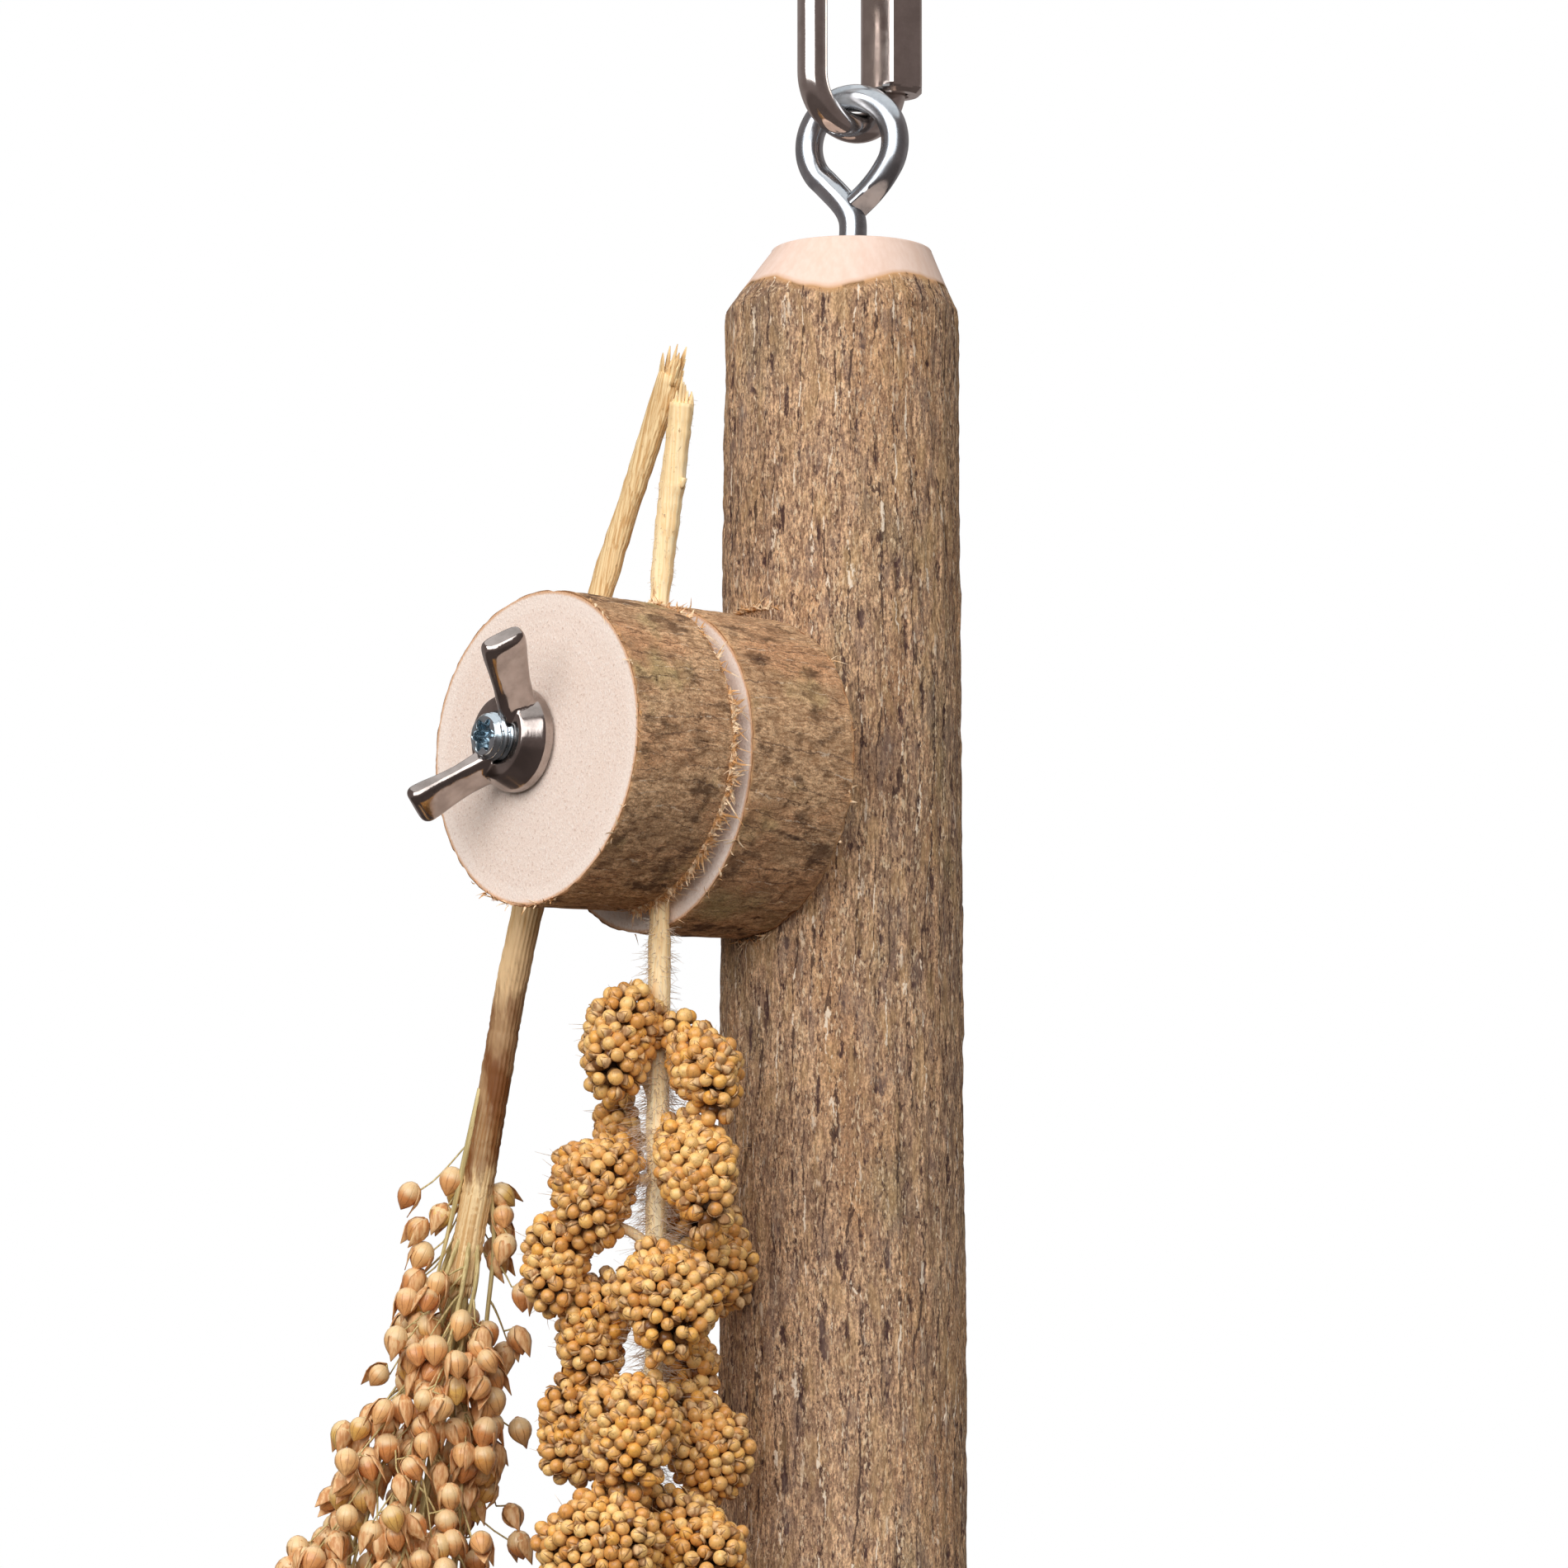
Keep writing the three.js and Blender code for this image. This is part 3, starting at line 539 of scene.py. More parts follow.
for share in (0.985, 0.965, 0.94, 0.9, 0.8, 0.6, 0.4, 0.2, 0.02):
    branch_row(foot_r * share, BRANCH_LENGTH)

branch_rings = np.array(branch_skin.rings)
on_seat = np.hypot(branch_rings[..., 0] - BRANCH_X, branch_rings[..., 2] - DISC_MID_Z) < SEAT_R
on_seat &= branch_rings[..., 1] < SEAT_Y + 0.1
planed = SEAT_Y + PLANE_MARKS * np.sin(3 * branch_rings[..., 2])
branch_rings[..., 1] = np.where(on_seat, planed, branch_rings[..., 1])


# Lines of loose fibres that leave their roots one way and curl off another
def fibre_lines(roots, ways, lengths, curl, random):
    run = np.linspace(0, 1, 5)[None, :, None]
    turn_off = random.normal(0, 1, roots.shape)[:, None]
    return roots[:, None] + lengths[:, None, None] * (ways[:, None] * run + curl * turn_off * run ** 2)


# Fibres torn up by the plane at the ends of the flat
random = np.random.default_rng(5)
taper = np.array([1, 0.95, 0.8, 0.55, 0.15])
fibre_x = BRANCH_X + random.normal(0.6, 2.6, FLAT_FIBRES)
above_flat = np.where(random.random(FLAT_FIBRES) < 0.75, 1, -1)
fibre_z = DISC_MID_Z + above_flat * np.sqrt(SEAT_R ** 2 - (fibre_x - BRANCH_X) ** 2)
fibre_y = BRANCH_Y - np.sqrt(FLAT_END_R ** 2 - (fibre_x - BRANCH_X) ** 2)
fibre_way = np.column_stack([
    random.normal(0, 0.6, FLAT_FIBRES), -random.uniform(0.1, 0.6, FLAT_FIBRES),
    above_flat * random.uniform(0.2, 1, FLAT_FIBRES),
])
fibre_root, fibre_long = np.column_stack([fibre_x, fibre_y, fibre_z]), random.uniform(0.5, 1.7, FLAT_FIBRES)
flat_lines = fibre_lines(fibre_root, fibre_way, fibre_long, 0.3, random)
flat_width = random.uniform(0.2, 0.5, FLAT_FIBRES)[:, None] * taper
flat_fray = rods(flat_lines, flat_width, 0.12 * taper, 4, (0.3, 0.9, 0.2))

# Streaks, specks and patches of weathered bark, with the fissures and flecks of its mesh, and painted shade
# where its relief sinks
bark_weather, taken = new_effect("bark_weather", {
    "Place": (0, 0, 0), "Crack": 0.0, "Fleck": 0.0, "Rise": 0.0, "Lined": 0.0,
    "Middle": tone(180, 139, 107), "Pale": tone(230, 191, 151), "Dark": tone(110, 84, 70),
    "Warm": tone(186, 140, 98), "Moss": tone(150, 132, 98), "Split": tone(72, 48, 46),
    "Specks": 1.0, "Blotch": 0.2, "Threads": 1.0, "Wrinkles": 0.0,
})
place = taken["Place"]
elsewhere = vectors("ADD", place, (0.31, 0.17, 0.05))
streak = grain(place, (2300, 2300, 560), 5, 0.7)
thread = grain(place, (4200, 4200, 2600), 2, 0.6)
patch = grain(place, (110, 110, 30), 4, 0.6)
moss_patch = grain(elsewhere, (95, 105, 60), 3, 0.55)
blotch = grain(elsewhere, (270, 270, 100), 5, 0.64)
fold = grain(elsewhere, (620, 620, 75), 4, 0.6)
dark_speck = grain(elsewhere, (3200, 3200, 1100), 3, 0.62)
pale_speck = grain(place, (3000, 3000, 1000), 3, 0.62)
bark = washed(taken["Dark"], taken["Pale"], streak, 0.38, 0.62)
bark = mixed(0.3, bark, taken["Middle"])
bark = washed(bark, taken["Warm"], patch, 0.46, 0.66, 0, 0.55)
bark = washed(bark, taken["Moss"], moss_patch, 0.55, 0.75, 0, 0.6)
spun = ranged(thread, 0.34, 0.66, 0.6, 1.45)
spun = fit("CombineColor", {0: spun, 1: spun, 2: spun}).outputs[0]
bark = mixed(taken["Threads"], bark, spun, "MULTIPLY")
bark = mixed(times(ranged(blotch, 0.5, 0.64), taken["Blotch"]), bark, taken["Split"])
off_fold = worked("ABSOLUTE", worked("SUBTRACT", fold, 0.5))
folded = times(ranged(off_fold, 0.004, 0.03, 1, 0), ranged(patch, 0.4, 0.6, 0.15, 1))
bark = mixed(times(folded, taken["Wrinkles"]), bark, taken["Split"])
# Painted shade: the bark is darker where its relief sinks, in its hollows and pits
bark = washed(bark, taken["Dark"], taken["Rise"], -0.6, 0.1, 0.4, 0)
for speck, pull, low, most, speck_tone in (
    (dark_speck, 0.11, 0.58, 0.85, taken["Split"]), (pale_speck, 0.08, 0.59, 0.7, tone(238, 212, 178)),
):
    specks = ranged(plus(speck, taken["Lined"], pull), low, 0.68, 0, most)
    bark = mixed(times(specks, taken["Specks"]), bark, speck_tone)
torn = times(taken["Crack"], ranged(dark_speck, 0.3, 0.62, 0.35, 1.25))
bark = washed(bark, taken["Split"], torn, 0.2, 0.6, 0, 0.92)
lifted = times(taken["Fleck"], ranged(pale_speck, 0.3, 0.6, 0.3, 1.2))
bark = washed(bark, tone(226, 205, 182), lifted, 0.25, 0.7, 0, 0.85)
rough = ranged(streak, 0.3, 0.7, 0.95, 0.8)
give(bark_weather, Color=bark, Roughness=rough, Height=plus(streak, thread, 0.7))


# Value that the mesh keeps
def read(tree, name, kind="Fac"):
    return fit("Attribute", {}, tree, attribute_name=name).outputs[kind]


# Place from a middle, with its axes in an order that ends along the bark, and shorter along it by a factor
def bark_place(tree, order, shorter, middle=(0, 0, 0)):
    parts = apart(placed(tree))
    laid = fit("CombineXYZ", {axis: parts[order[axis]] for axis in range(3)}).outputs[0]
    laid = vectors("ADD", laid, [-MM * part for part in middle])
    return vectors("MULTIPLY", laid, (1, 1, shorter))


# Bark with changes to its colours and amounts
def bark_finish(name, order, shorter, relief, changes):
    finish, tree, shader = new_finish(name)
    inputs = {"Place": bark_place(tree, order, shorter)}
    for label in ("Crack", "Fleck", "Rise", "Lined"):
        inputs[label] = read(tree, label.lower())
    effect = fit("Group", inputs | changes, node_tree=bark_weather).outputs
    skin = mixed(read(tree, "bast"), effect["Color"], BAST)
    surface(shader, skin, effect["Roughness"], (relief, 0.0003, effect["Height"]), 0.25)
    return finish


# Nodes of a finish, the input of its colour and the colour that it has so far
def opened(finish):
    tree = finish.node_tree
    base = tree.nodes["Principled BSDF"].inputs["Base Color"]
    return tree, base, base.links[0].from_socket


# Crisp lines along bark about its middle, in places dark where it has split and in places pale: painted
# highlight along the ridges, on the branch also its own pale streaks
def bark_lines(finish, order, shorter, middle, count, darkness, highlight_and_paleness):
    tree, base, skin = opened(finish)
    laid = bark_place(tree, order, shorter, middle)
    parts = apart(laid)
    turned = worked("ARCTAN2", parts[1], parts[0])
    phase = plus(times(turned, 2.0), parts[2], -2 * np.pi * 3.3 / BRANCH_LENGTH / MM)
    line_at = plus(times(turned, count / 2 / np.pi), worked("SINE", phase), 0.007 * count)
    line_at = plus(line_at, grain(laid, (1300, 1300, 420), 3, 0.6), 0.55)
    line_at = plus(line_at, grain(laid, (130, 130, 36), 2), 2.2)
    nearest = worked("ROUND", line_at)
    off_line = worked("ABSOLUTE", worked("SUBTRACT", line_at, nearest))
    on_line = {0: times(nearest, 3.71), 1: 0.0, 2: times(parts[2], 60.0)}
    present = grain(fit("CombineXYZ", on_line).outputs[0], (1, 1, 1), 2, 0.5)
    width = ranged(present, 0.36, 0.6, 0.0, 0.062)
    on_line = ranged(worked("SUBTRACT", off_line, width), -0.02, 0.0, 1, 0)
    bead = grain(laid, (500, 500, 220), 4, 0.65)
    # The pale tone is painted highlight along the ridges, together with the branch's own pale streaks
    for line_tone, limits in (
        (tone(60, 40, 38), (0.5, 0.55, darkness, 0)), (tone(240, 222, 200), (0.53, 0.57, 0, highlight_and_paleness)),
    ):
        skin = mixed(times(on_line, ranged(bead, *limits)), skin, line_tone)
    tree.links.new(skin, base)


branch_bark = bark_finish("branch_bark", (0, 1, 2), 1.0, 0.6, {"Blotch": 0.25, "Threads": 0.75})
tree, base, skin = opened(branch_bark)
shade = grain(placed(tree), (420, 420, 140), 4, 0.6)
skin = washed(skin, tone(126, 104, 94), shade, 0.52, 0.68, 0, 0.5)
tree.links.new(washed(skin, tone(190, 153, 107), shade, 0.34, 0.48, 0.4, 0), base)
bark_lines(branch_bark, (0, 1, 2), 1.0, (BRANCH_X, BRANCH_Y, BRANCH_TOP), BARK_LINES, 0.8, 0.9)

# Bare pale wood, with faint grain along it and brown bast where the bark begins
bare_wood, tree, shader = new_finish("bare_wood")
place = placed(tree)
wood_lines = grain(place, (900, 900, 60), 4, 0.6)
pale = washed(tone(231, 201, 184), tone(238, 212, 198), wood_lines, 0.3, 0.7)
pale = washed(pale, tone(230, 196, 175), grain(place, (90, 90, 40), 3), 0.45, 0.75, 0, 0.45)
pale = mixed(read(tree, "bast"), pale, BAST)
surface(shader, pale, ranged(wood_lines, 0.3, 0.7, 0.75, 0.6), (0.15, 0.00008, wood_lines), 0.3)


# Finish that goes between two tones, and between two roughnesses, with one grain
def plain_finish(name, cells, detail, low, high, first, second, rough, smooth):
    finish, tree, shader = new_finish(name)
    field = grain(placed(tree), cells, detail)
    skin = washed(first, second, field, low, high)
    surface(shader, skin, ranged(field, 0.3, 0.7, rough, smooth))
    return finish


# Torn bast fibres, straw to orange
torn_fibre = plain_finish(
    "torn_fibre", (800, 800, 800), 3, 0.4, 0.6, tone(208, 154, 98), tone(246, 218, 182), 0.9, 0.7,
)


# Piece of several shells, with its finishes and the one that each shell, or each of its faces, has
def built(name, finishes, kinds, shells, sharp=None):
    points, faces, face_kinds = [], [], []
    for kind, (shell_points, shell_faces) in zip(kinds, shells):
        start = sum(len(part) for part in points)
        points.append(shell_points)
        faces += [[corner + start for corner in face] for face in shell_faces]
        face_kinds.append(np.broadcast_to(kind, len(shell_faces)))
    piece = lay(name, np.vstack(points), faces, sharp=sharp)
    for finish in finishes:
        piece.data.materials.append(finish)
    piece.data.polygons.foreach_set("material_index", np.concatenate(face_kinds).astype(np.int32))
    return piece


row_of = np.repeat(np.arange(len(branch_rings) - 1), BARK_COLUMNS)
skin_kinds = ((row_of >= bark_starts) & (row_of <= bark_ends)).astype(int)
branch_shells, branch_kinds = (skinned(branch_rings), flat_fray), (np.append(skin_kinds, [0, 0]), 2)
branch = built("branch_with_bark", (bare_wood, branch_bark, torn_fibre), branch_kinds, branch_shells)
branch_skin.keep_on(branch)
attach(branch, "holder")
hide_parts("branch")


# Clamp discs: two slices sawn across a thicker branch with the bark left on, bored off their middle.
# The rear one is drawn up against the flat on the branch, the front one is loose on the bolt.
# Their faces show pale end grain inside a thin line of bast, and the saw left torn fibres at the edges.
DISC_R, DISC_OVAL, DISC_LUMP, DISC_COLUMNS = 20.0, 0.012, 0.008, 300
BOLT_X, BOLT_Z, BOLT_BORE_R, BORE_BREAK = -3.4, -115.25, 3.3, 0.25
REAR_BACK, REAR_FRONT, FRONT_BACK, FRONT_FACE = -15.567, -31.967, -34.767, -50.167
REAR_SAG, FRONT_SAG, PITH = (1.9, 0.75), (0.0, -1.0), (-0.6, 0, -115.8)
disc_around = np.arange(DISC_COLUMNS) / DISC_COLUMNS
disc_angle = 2 * np.pi * disc_around
disc_rim = DISC_R * (1 + DISC_OVAL * np.cos(2 * disc_angle) + DISC_LUMP * np.sin(3 * disc_angle))

disc_bark = bark_finish("disc_bark", (0, 2, 1), 1.7, 0.4, {
    "Middle": tone(201, 159, 120), "Pale": tone(232, 192, 151), "Dark": tone(138, 102, 71),
    "Warm": tone(206, 150, 109), "Moss": tone(172, 160, 112), "Split": tone(76, 51, 35),
    "Specks": 0.35, "Blotch": 0.8, "Threads": 0.55, "Wrinkles": 0.6,
})
bark_lines(disc_bark, (0, 2, 1), 1.7, (BRANCH_X, DISC_MID_Z, 0.0), 64, 0.55, 0.4)

# Sawn end grain: faint rings about the pith, pores, pale fuzz, the line of bast under the bark, and painted
# light near the rim
end_grain, tree, shader = new_finish("end_grain")
place = placed(tree)
from_pith = vectors("ADD", place, [-MM * part for part in PITH])
from_pith = vectors("MULTIPLY", from_pith, (1, 0, 1))
reach = vectors("LENGTH", from_pith)
reach = plus(reach, grain(from_pith, (160, 0, 160), 3), 0.0022)
ring_wave = worked("SINE", times(reach, 3600.0))
pores = grain(place, (2400, 600, 2400), 4, 0.65)
fuzz = grain(place, (5200, 900, 2000), 3, 0.6)
cloud = grain(place, (110, 30, 110), 4, 0.6)
inward = read(tree, "inward")
ragged = plus(inward, fuzz, 0.3)
pale = washed(tone(242, 221, 208), tone(244, 224, 211), ring_wave, -1, 1)
pale = washed(pale, tone(241, 218, 203), cloud, 0.42, 0.68, 0, 0.6)
pale = washed(pale, tone(202, 168, 150), pores, 0.54, 0.68, 0, 0.65)
pale = washed(pale, tone(254, 243, 236), fuzz, 0.53, 0.68, 0, 0.7)
# Painted light: the faces are paler a little in from the rim, to brighten the strip of the rear disc that
# lies in the gap's shade
pale = washed(pale, tone(255, 241, 231), inward, 1.4, 3.0, 0.3, 0)
pale = washed(pale, tone(216, 160, 110), ragged, 0.4, 0.85, 0.8, 0)
pale = washed(pale, tone(140, 96, 60), ragged, 0.22, 0.36, 0.9, 0)
surface(shader, pale, ranged(fuzz, 0.3, 0.7, 0.95, 0.8), (0.6, 0.00015, plus(pores, fuzz)), 0.2)


# Short curled fibres along part of a rim: angles about the disc's middle, and the side that they stand off
def rim_fray(spots, rim_at, y, off_side, lengths, random):
    count = len(spots)
    outward = np.column_stack([np.cos(spots), 0 * spots, np.sin(spots)])
    along_rim = np.column_stack([-np.sin(spots), 0 * spots, np.cos(spots)])
    reach = rim_at - random.uniform(-0.05, 0.35, count)
    roots = np.array([BRANCH_X, y, DISC_MID_Z]) + reach[:, None] * outward
    roots[:, 1] -= off_side * random.uniform(-0.1, 0.35, count)
    ways = random.normal(0, 1.0, (count, 1)) * along_rim + random.normal(0.15, 0.25, (count, 1)) * outward
    ways[:, 1] += off_side * random.uniform(0.05, 0.75, count)
    width = random.uniform(0.15, 0.42, count)[:, None] * taper
    lines = fibre_lines(roots, unit(ways), lengths, 0.45, random)
    return rods(lines, width, 0.14 * taper, 4, outward[:, None] + 0.01)


# Slice of branch between two stations along Y, its bark weathered by a seed, with fray on its two rims
def sawn_disc(name, front_y, back_y, sag, seed, back_spots, front_spots):
    random = np.random.default_rng(seed)
    thick = back_y - front_y
    rim = disc_rim + 0.3 * (weathered(disc_around, 0 * disc_around, 7, 1, seed + 3) - 0.5)
    downward = np.clip(-np.sin(disc_angle), 0, 1) ** 1.5
    outward = np.clip(np.cos(disc_angle), 0, 1) ** 1.5
    front_rim = rim + sag[0] * (downward + 0.05 * outward)
    back_rim = rim + sag[1] * (downward + 0.3 * outward * (sag[1] < 0))
    chips = [weathered(disc_around, 0 * disc_around, 90, 1, seed + side) for side in (1, 2)]
    chip_front, chip_back = (0.3 * chip ** 2 for chip in chips)
    skin = Stack(disc_angle, 2, inward=9.0, crack=0.0, fleck=0.0, rise=0.0, lined=0.0, bast=0.0)
    on_bark = []

    # Ring about the middle of the disc, or about its bore
    def station(radius, y, bore=0.0, bark=0, **values):
        x, z = BRANCH_X * (1 - bore) + BOLT_X * bore, DISC_MID_Z * (1 - bore) + BOLT_Z * bore
        skin.add(x, y, z, radius, **values)
        on_bark.append(bark)

    # Rings of a sawn face from its bore to its rim or back
    def face(rim, chip, y, inside, order):
        inner = BOLT_BORE_R + BORE_BREAK
        calls = [(BOLT_BORE_R, y + inside * BORE_BREAK, 1, {}), (inner, y, 1, {})]
        for share in np.linspace(0.04, 0.92, 14):
            calls.append((inner * (1 - share) + (rim - 3.3) * share, y, 1 - share, {}))
        for inward in (3.0, 2.0, 1.4, 1.0, 0.7, 0.5, 0.35, 0.2, 0.0):
            edge = inward < 0.1
            radius = rim - 0.1 - inward - chip * edge
            calls.append((radius, y + inside * 0.05 * edge, 0.0, {"inward": inward}))
        for radius, at, bore, values in calls[::order]:
            station(radius, at, bore, **values)

    face(front_rim, chip_front, front_y, 1, 1)
    for share in np.linspace(0, 1, int(thick / 0.4)):
        along = np.full(DISC_COLUMNS, share)
        broad = weathered(disc_around, along, 46, 3, seed + 4) - 0.5
        small = weathered(disc_around, along, 170, 9, seed + 5) - 0.5
        pits = eased(weathered(disc_around, along, 110, 12, seed + 6), 0.72, 0.95)
        split = eased(1 - np.abs(2 * weathered(disc_around, along, 38, 2, seed + 7) - 1), 0.95, 0.995)
        split = split * eased(weathered(disc_around, along, 44, 4, seed + 8), 0.45, 0.8)
        from_front, from_back = share * thick, (1 - share) * thick
        edges = chip_front * math.exp(-from_front / 0.35) + chip_back * math.exp(-from_back / 0.35)
        height = 0.22 * broad + 0.18 * small - 0.2 * pits - 0.25 * split - 0.08 - edges
        height = height + front_rim * (1 - share) + back_rim * share
        lip = 0.8 * math.exp(-from_front / 0.2) + 0.8 * math.exp(-from_back / 0.2)
        y = front_y + 0.06 + (thick - 0.12) * share
        station(height, y, bark=1, crack=0.5 * split, rise=broad + small - pits, bast=lip, inward=0.0)
    face(back_rim, chip_back, back_y, -1, -1)

    shells = [skinned(skin.rings, closed=True)]
    for spots, y, off_side, edge in (
        (back_spots, back_y, 1, back_rim), (front_spots, front_y, -1, front_rim),
    ):
        rim_at = np.interp(spots % (2 * np.pi), disc_angle, edge, period=2 * np.pi)
        lengths = random.gamma(2.5, 0.25, len(spots)) + 0.35
        shells.append(rim_fray(spots, rim_at, y, off_side, lengths, random))
    kinds = np.repeat(np.minimum(on_bark, np.roll(on_bark, -1)), DISC_COLUMNS)
    piece = built(name, (end_grain, disc_bark, torn_fibre), (kinds, 2, 2), shells, 60)
    skin.keep_on(piece)
    return piece


random = np.random.default_rng(91)
fray_back, fray_front = random.uniform(-1.2, 2.2, 30), random.normal(-1.2, 0.4, 14)
rear_disc = sawn_disc("rear_disc_slice", REAR_FRONT, REAR_BACK, REAR_SAG, 100, fray_back, fray_front)
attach(rear_disc, "holder")
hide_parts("rear_disc")
fray_back = np.concatenate([
    random.uniform(-1.6, -0.5, 760), random.uniform(-0.55, 0.3, 300), random.normal(1.25, 0.13, 90),
    random.uniform(0.3, 1.2, 60),
])
fray_front = np.concatenate([
    random.normal(-0.72, 0.05, 10), random.uniform(-2.3, -1.2, 46), random.uniform(-0.6, 1.0, 24),
])
front_disc = sawn_disc("front_disc_slice", FRONT_FACE, FRONT_BACK, FRONT_SAG, 200, fray_back, fray_front)
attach(front_disc, "clamp")
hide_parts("front_disc")


# Hanger bolt: zinc-plated steel with a fine machine thread outside and a coarse wood thread in the branch.
# A six-lobed recess in its end takes the driver that turns it in through the rear disc.
BOLT_END, BOLT_POINT_Y, BOLT_R, BOLT_ROOT_R, BOLT_END_R = -56.567, 6.733, 3.0, 2.5, 2.48
BOLT_PITCH, WOOD_PITCH, WOOD_ROOT_R, WOOD_RISE = 1.0, 2.6, 2.05, 0.72
RECESS_R, RECESS_WAVE, RECESS_DEPTH = 1.8, 0.36, 2.2
bolt_turn = turns(72)
lobed = RECESS_R + RECESS_WAVE * np.cos(6 * bolt_turn + 0.4)


# Share of the height of a thread's flank at a station along Y
def thread_rise(y, pitch, root, crest):
    flank = np.abs(((-y / pitch - bolt_turn / (2 * np.pi)) % 1) * 2 - 1)
    return eased(flank, root, crest)


bolt_profile = [(radius, BOLT_END + depth) for radius, depth in (
    (0.04, RECESS_DEPTH + 0.35), (0.7 * lobed, RECESS_DEPTH + 0.1), (0.96 * lobed, RECESS_DEPTH),
    (lobed, 0.9), (lobed, 0.12), (lobed + 0.1, 0.01), (2.3, 0.0), (BOLT_END_R, 0.1),
)]
for y in np.arange(BOLT_END + 0.25, SEAT_Y, BOLT_PITCH / 9):
    crest = BOLT_ROOT_R + (BOLT_R - BOLT_ROOT_R) * thread_rise(y, BOLT_PITCH, 0.12, 0.92)
    bolt_profile.append((np.minimum(crest, BOLT_END_R + 0.85 * (y - BOLT_END - 0.1)), y))
for y in np.arange(SEAT_Y, BOLT_POINT_Y - 0.05, WOOD_PITCH / 9):
    point = np.clip((BOLT_POINT_Y - y) / 4, 0.03, 1)
    bolt_profile.append(((WOOD_ROOT_R + WOOD_RISE * thread_rise(y, WOOD_PITCH, 0.55, 0.98)) * point, y))
bolt_rings = [ring(BOLT_X, y, BOLT_Z, radius, bolt_turn, 2) for radius, y in bolt_profile]
plated_bolt = metal_finish("plated_bolt", tone(204, 217, 226), tone(164, 182, 190), 0.14, 0.3)
hanger_bolt = lay("hanger_bolt_threaded", *skinned(bolt_rings), plated_bolt, 45)
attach(hanger_bolt, "holder")
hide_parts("hanger_bolt")


# Wing nut: cast steel, tumbled and polished, with a round foot that bears on the front disc.
# Two thick wings with rounded edges rise from the hub for thumb and finger, leaning a little upward.
HUB_BASE_R, HUB_BAND, HUB_TOP_R, HUB_HEIGHT, HUB_BORE_R, HUB_LEAD_IN = 6.6, 1.3, 5.0, 4.0, 3.05, 0.3
NUT_BASE, WING_ANGLE, WING_FOOT, WING_WAY, WING_LENGTH = -50.467, 48, (3.6, 2.4), (0.775, 0.632), 12.0
WING_SKEW, WING_SQUARE, WING_ROUND_AT = 1.2, 0.6, 0.9
WING_HALF_WIDE = (2.5, 2.4, 2.4, 2.6, 2.85, 2.9)
WING_HALF_THICK = (1.6, 1.3, 1.1, 1.15, 1.4, 1.55)
CAST_VOXEL, TUMBLED_FACTOR, TUMBLED_TIMES = 0.18, 0.5, 12
hub_turn = turns(64)
hub_profile = (
    (HUB_BORE_R + HUB_LEAD_IN, HUB_HEIGHT), (HUB_TOP_R, HUB_HEIGHT), (HUB_BASE_R, HUB_BAND),
    (HUB_BASE_R, 0.0), (HUB_BORE_R, 0.0), (HUB_BORE_R, HUB_HEIGHT - HUB_LEAD_IN),
)
hub_rings = [ring(BOLT_X, NUT_BASE - height, BOLT_Z, radius, hub_turn, 2) for radius, height in hub_profile]
nut_shells = [skinned(hub_rings, closed=True)]
wing_run = np.concatenate([np.linspace(0, WING_ROUND_AT, 15), [0.93, 0.96, 0.98, 0.992, 1.0]])
rounded = np.clip(wing_run - WING_ROUND_AT, 0, 1) / (1 - WING_ROUND_AT)
rounded = np.sqrt(np.clip(1 - rounded ** 2, 0.03, 1))
half_wide = np.interp(wing_run, np.linspace(0, 1, 6), WING_HALF_WIDE) - 0.75 * (1 - rounded)
half_thick = np.interp(wing_run, np.linspace(0, 1, 6), WING_HALF_THICK) * (0.3 + 0.7 * rounded)
section = np.array([np.cos(hub_turn), np.sin(hub_turn)])
square_wide, square_thick = np.sign(section) * np.abs(section) ** WING_SQUARE
for turn in np.radians([WING_ANGLE, WING_ANGLE + 180]):
    out_by, up_by = np.array([math.cos(turn), 0, math.sin(turn)]), np.array([0, -1, 0])
    over_by = np.array([-out_by[2], 0, out_by[0]])
    across_by = WING_WAY[0] * up_by - WING_WAY[1] * out_by
    foot = np.array([BOLT_X, NUT_BASE, BOLT_Z]) + WING_FOOT[0] * out_by + WING_FOOT[1] * up_by
    rise = WING_LENGTH * (WING_WAY[0] * out_by + WING_WAY[1] * up_by) + WING_SKEW * UP
    wing = (foot + wing_run[:, None] * rise)[:, None]
    wing = wing + half_wide[:, None, None] * square_wide[:, None] * across_by
    nut_shells.append(skinned(wing + half_thick[:, None, None] * square_thick[:, None] * over_by))
# Painted shade: tones set well below those of the polished link steel, standing in for the dark surroundings
# that the nut mirrors
cast_steel_painted_shade = metal_finish("cast_steel_painted_shade", tone(182, 172, 167), tone(152, 143, 138), 0.09, 0.2)
wing_nut = built("wing_nut_cast", [cast_steel_painted_shade], (0, 0, 0), nut_shells)
cast = wing_nut.modifiers.new("cast", "REMESH")
cast.mode, cast.voxel_size, cast.use_smooth_shade = "VOXEL", CAST_VOXEL * MM, True
tumbled = wing_nut.modifiers.new("tumbled", "SMOOTH")
tumbled.factor, tumbled.iterations = TUMBLED_FACTOR, TUMBLED_TIMES
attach(wing_nut, "nut")
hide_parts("wing_nut")


# Foxtail stalk: a dry millet straw pressed flat in the clamp, broken off above it and downy with pale hairs.
# Below the clamp it runs on as the thin axis of the seed head.
GAP_Y, STALK_THICK, FOXTAIL_WIDE, HEAD_TOP, HEAD_LENGTH = -33.367, 2.2, 2.7, -35.5, 100.0
DOWN_ABOVE, DOWN_BELOW, DOWN_HEAD, HAIR_THICK = 500, 380, 4600, 0.08
FOXTAIL_BUDS = ((7.6, 33.6, 1), (4.9, 32.2, -1), (7.0, 38.5, 1))


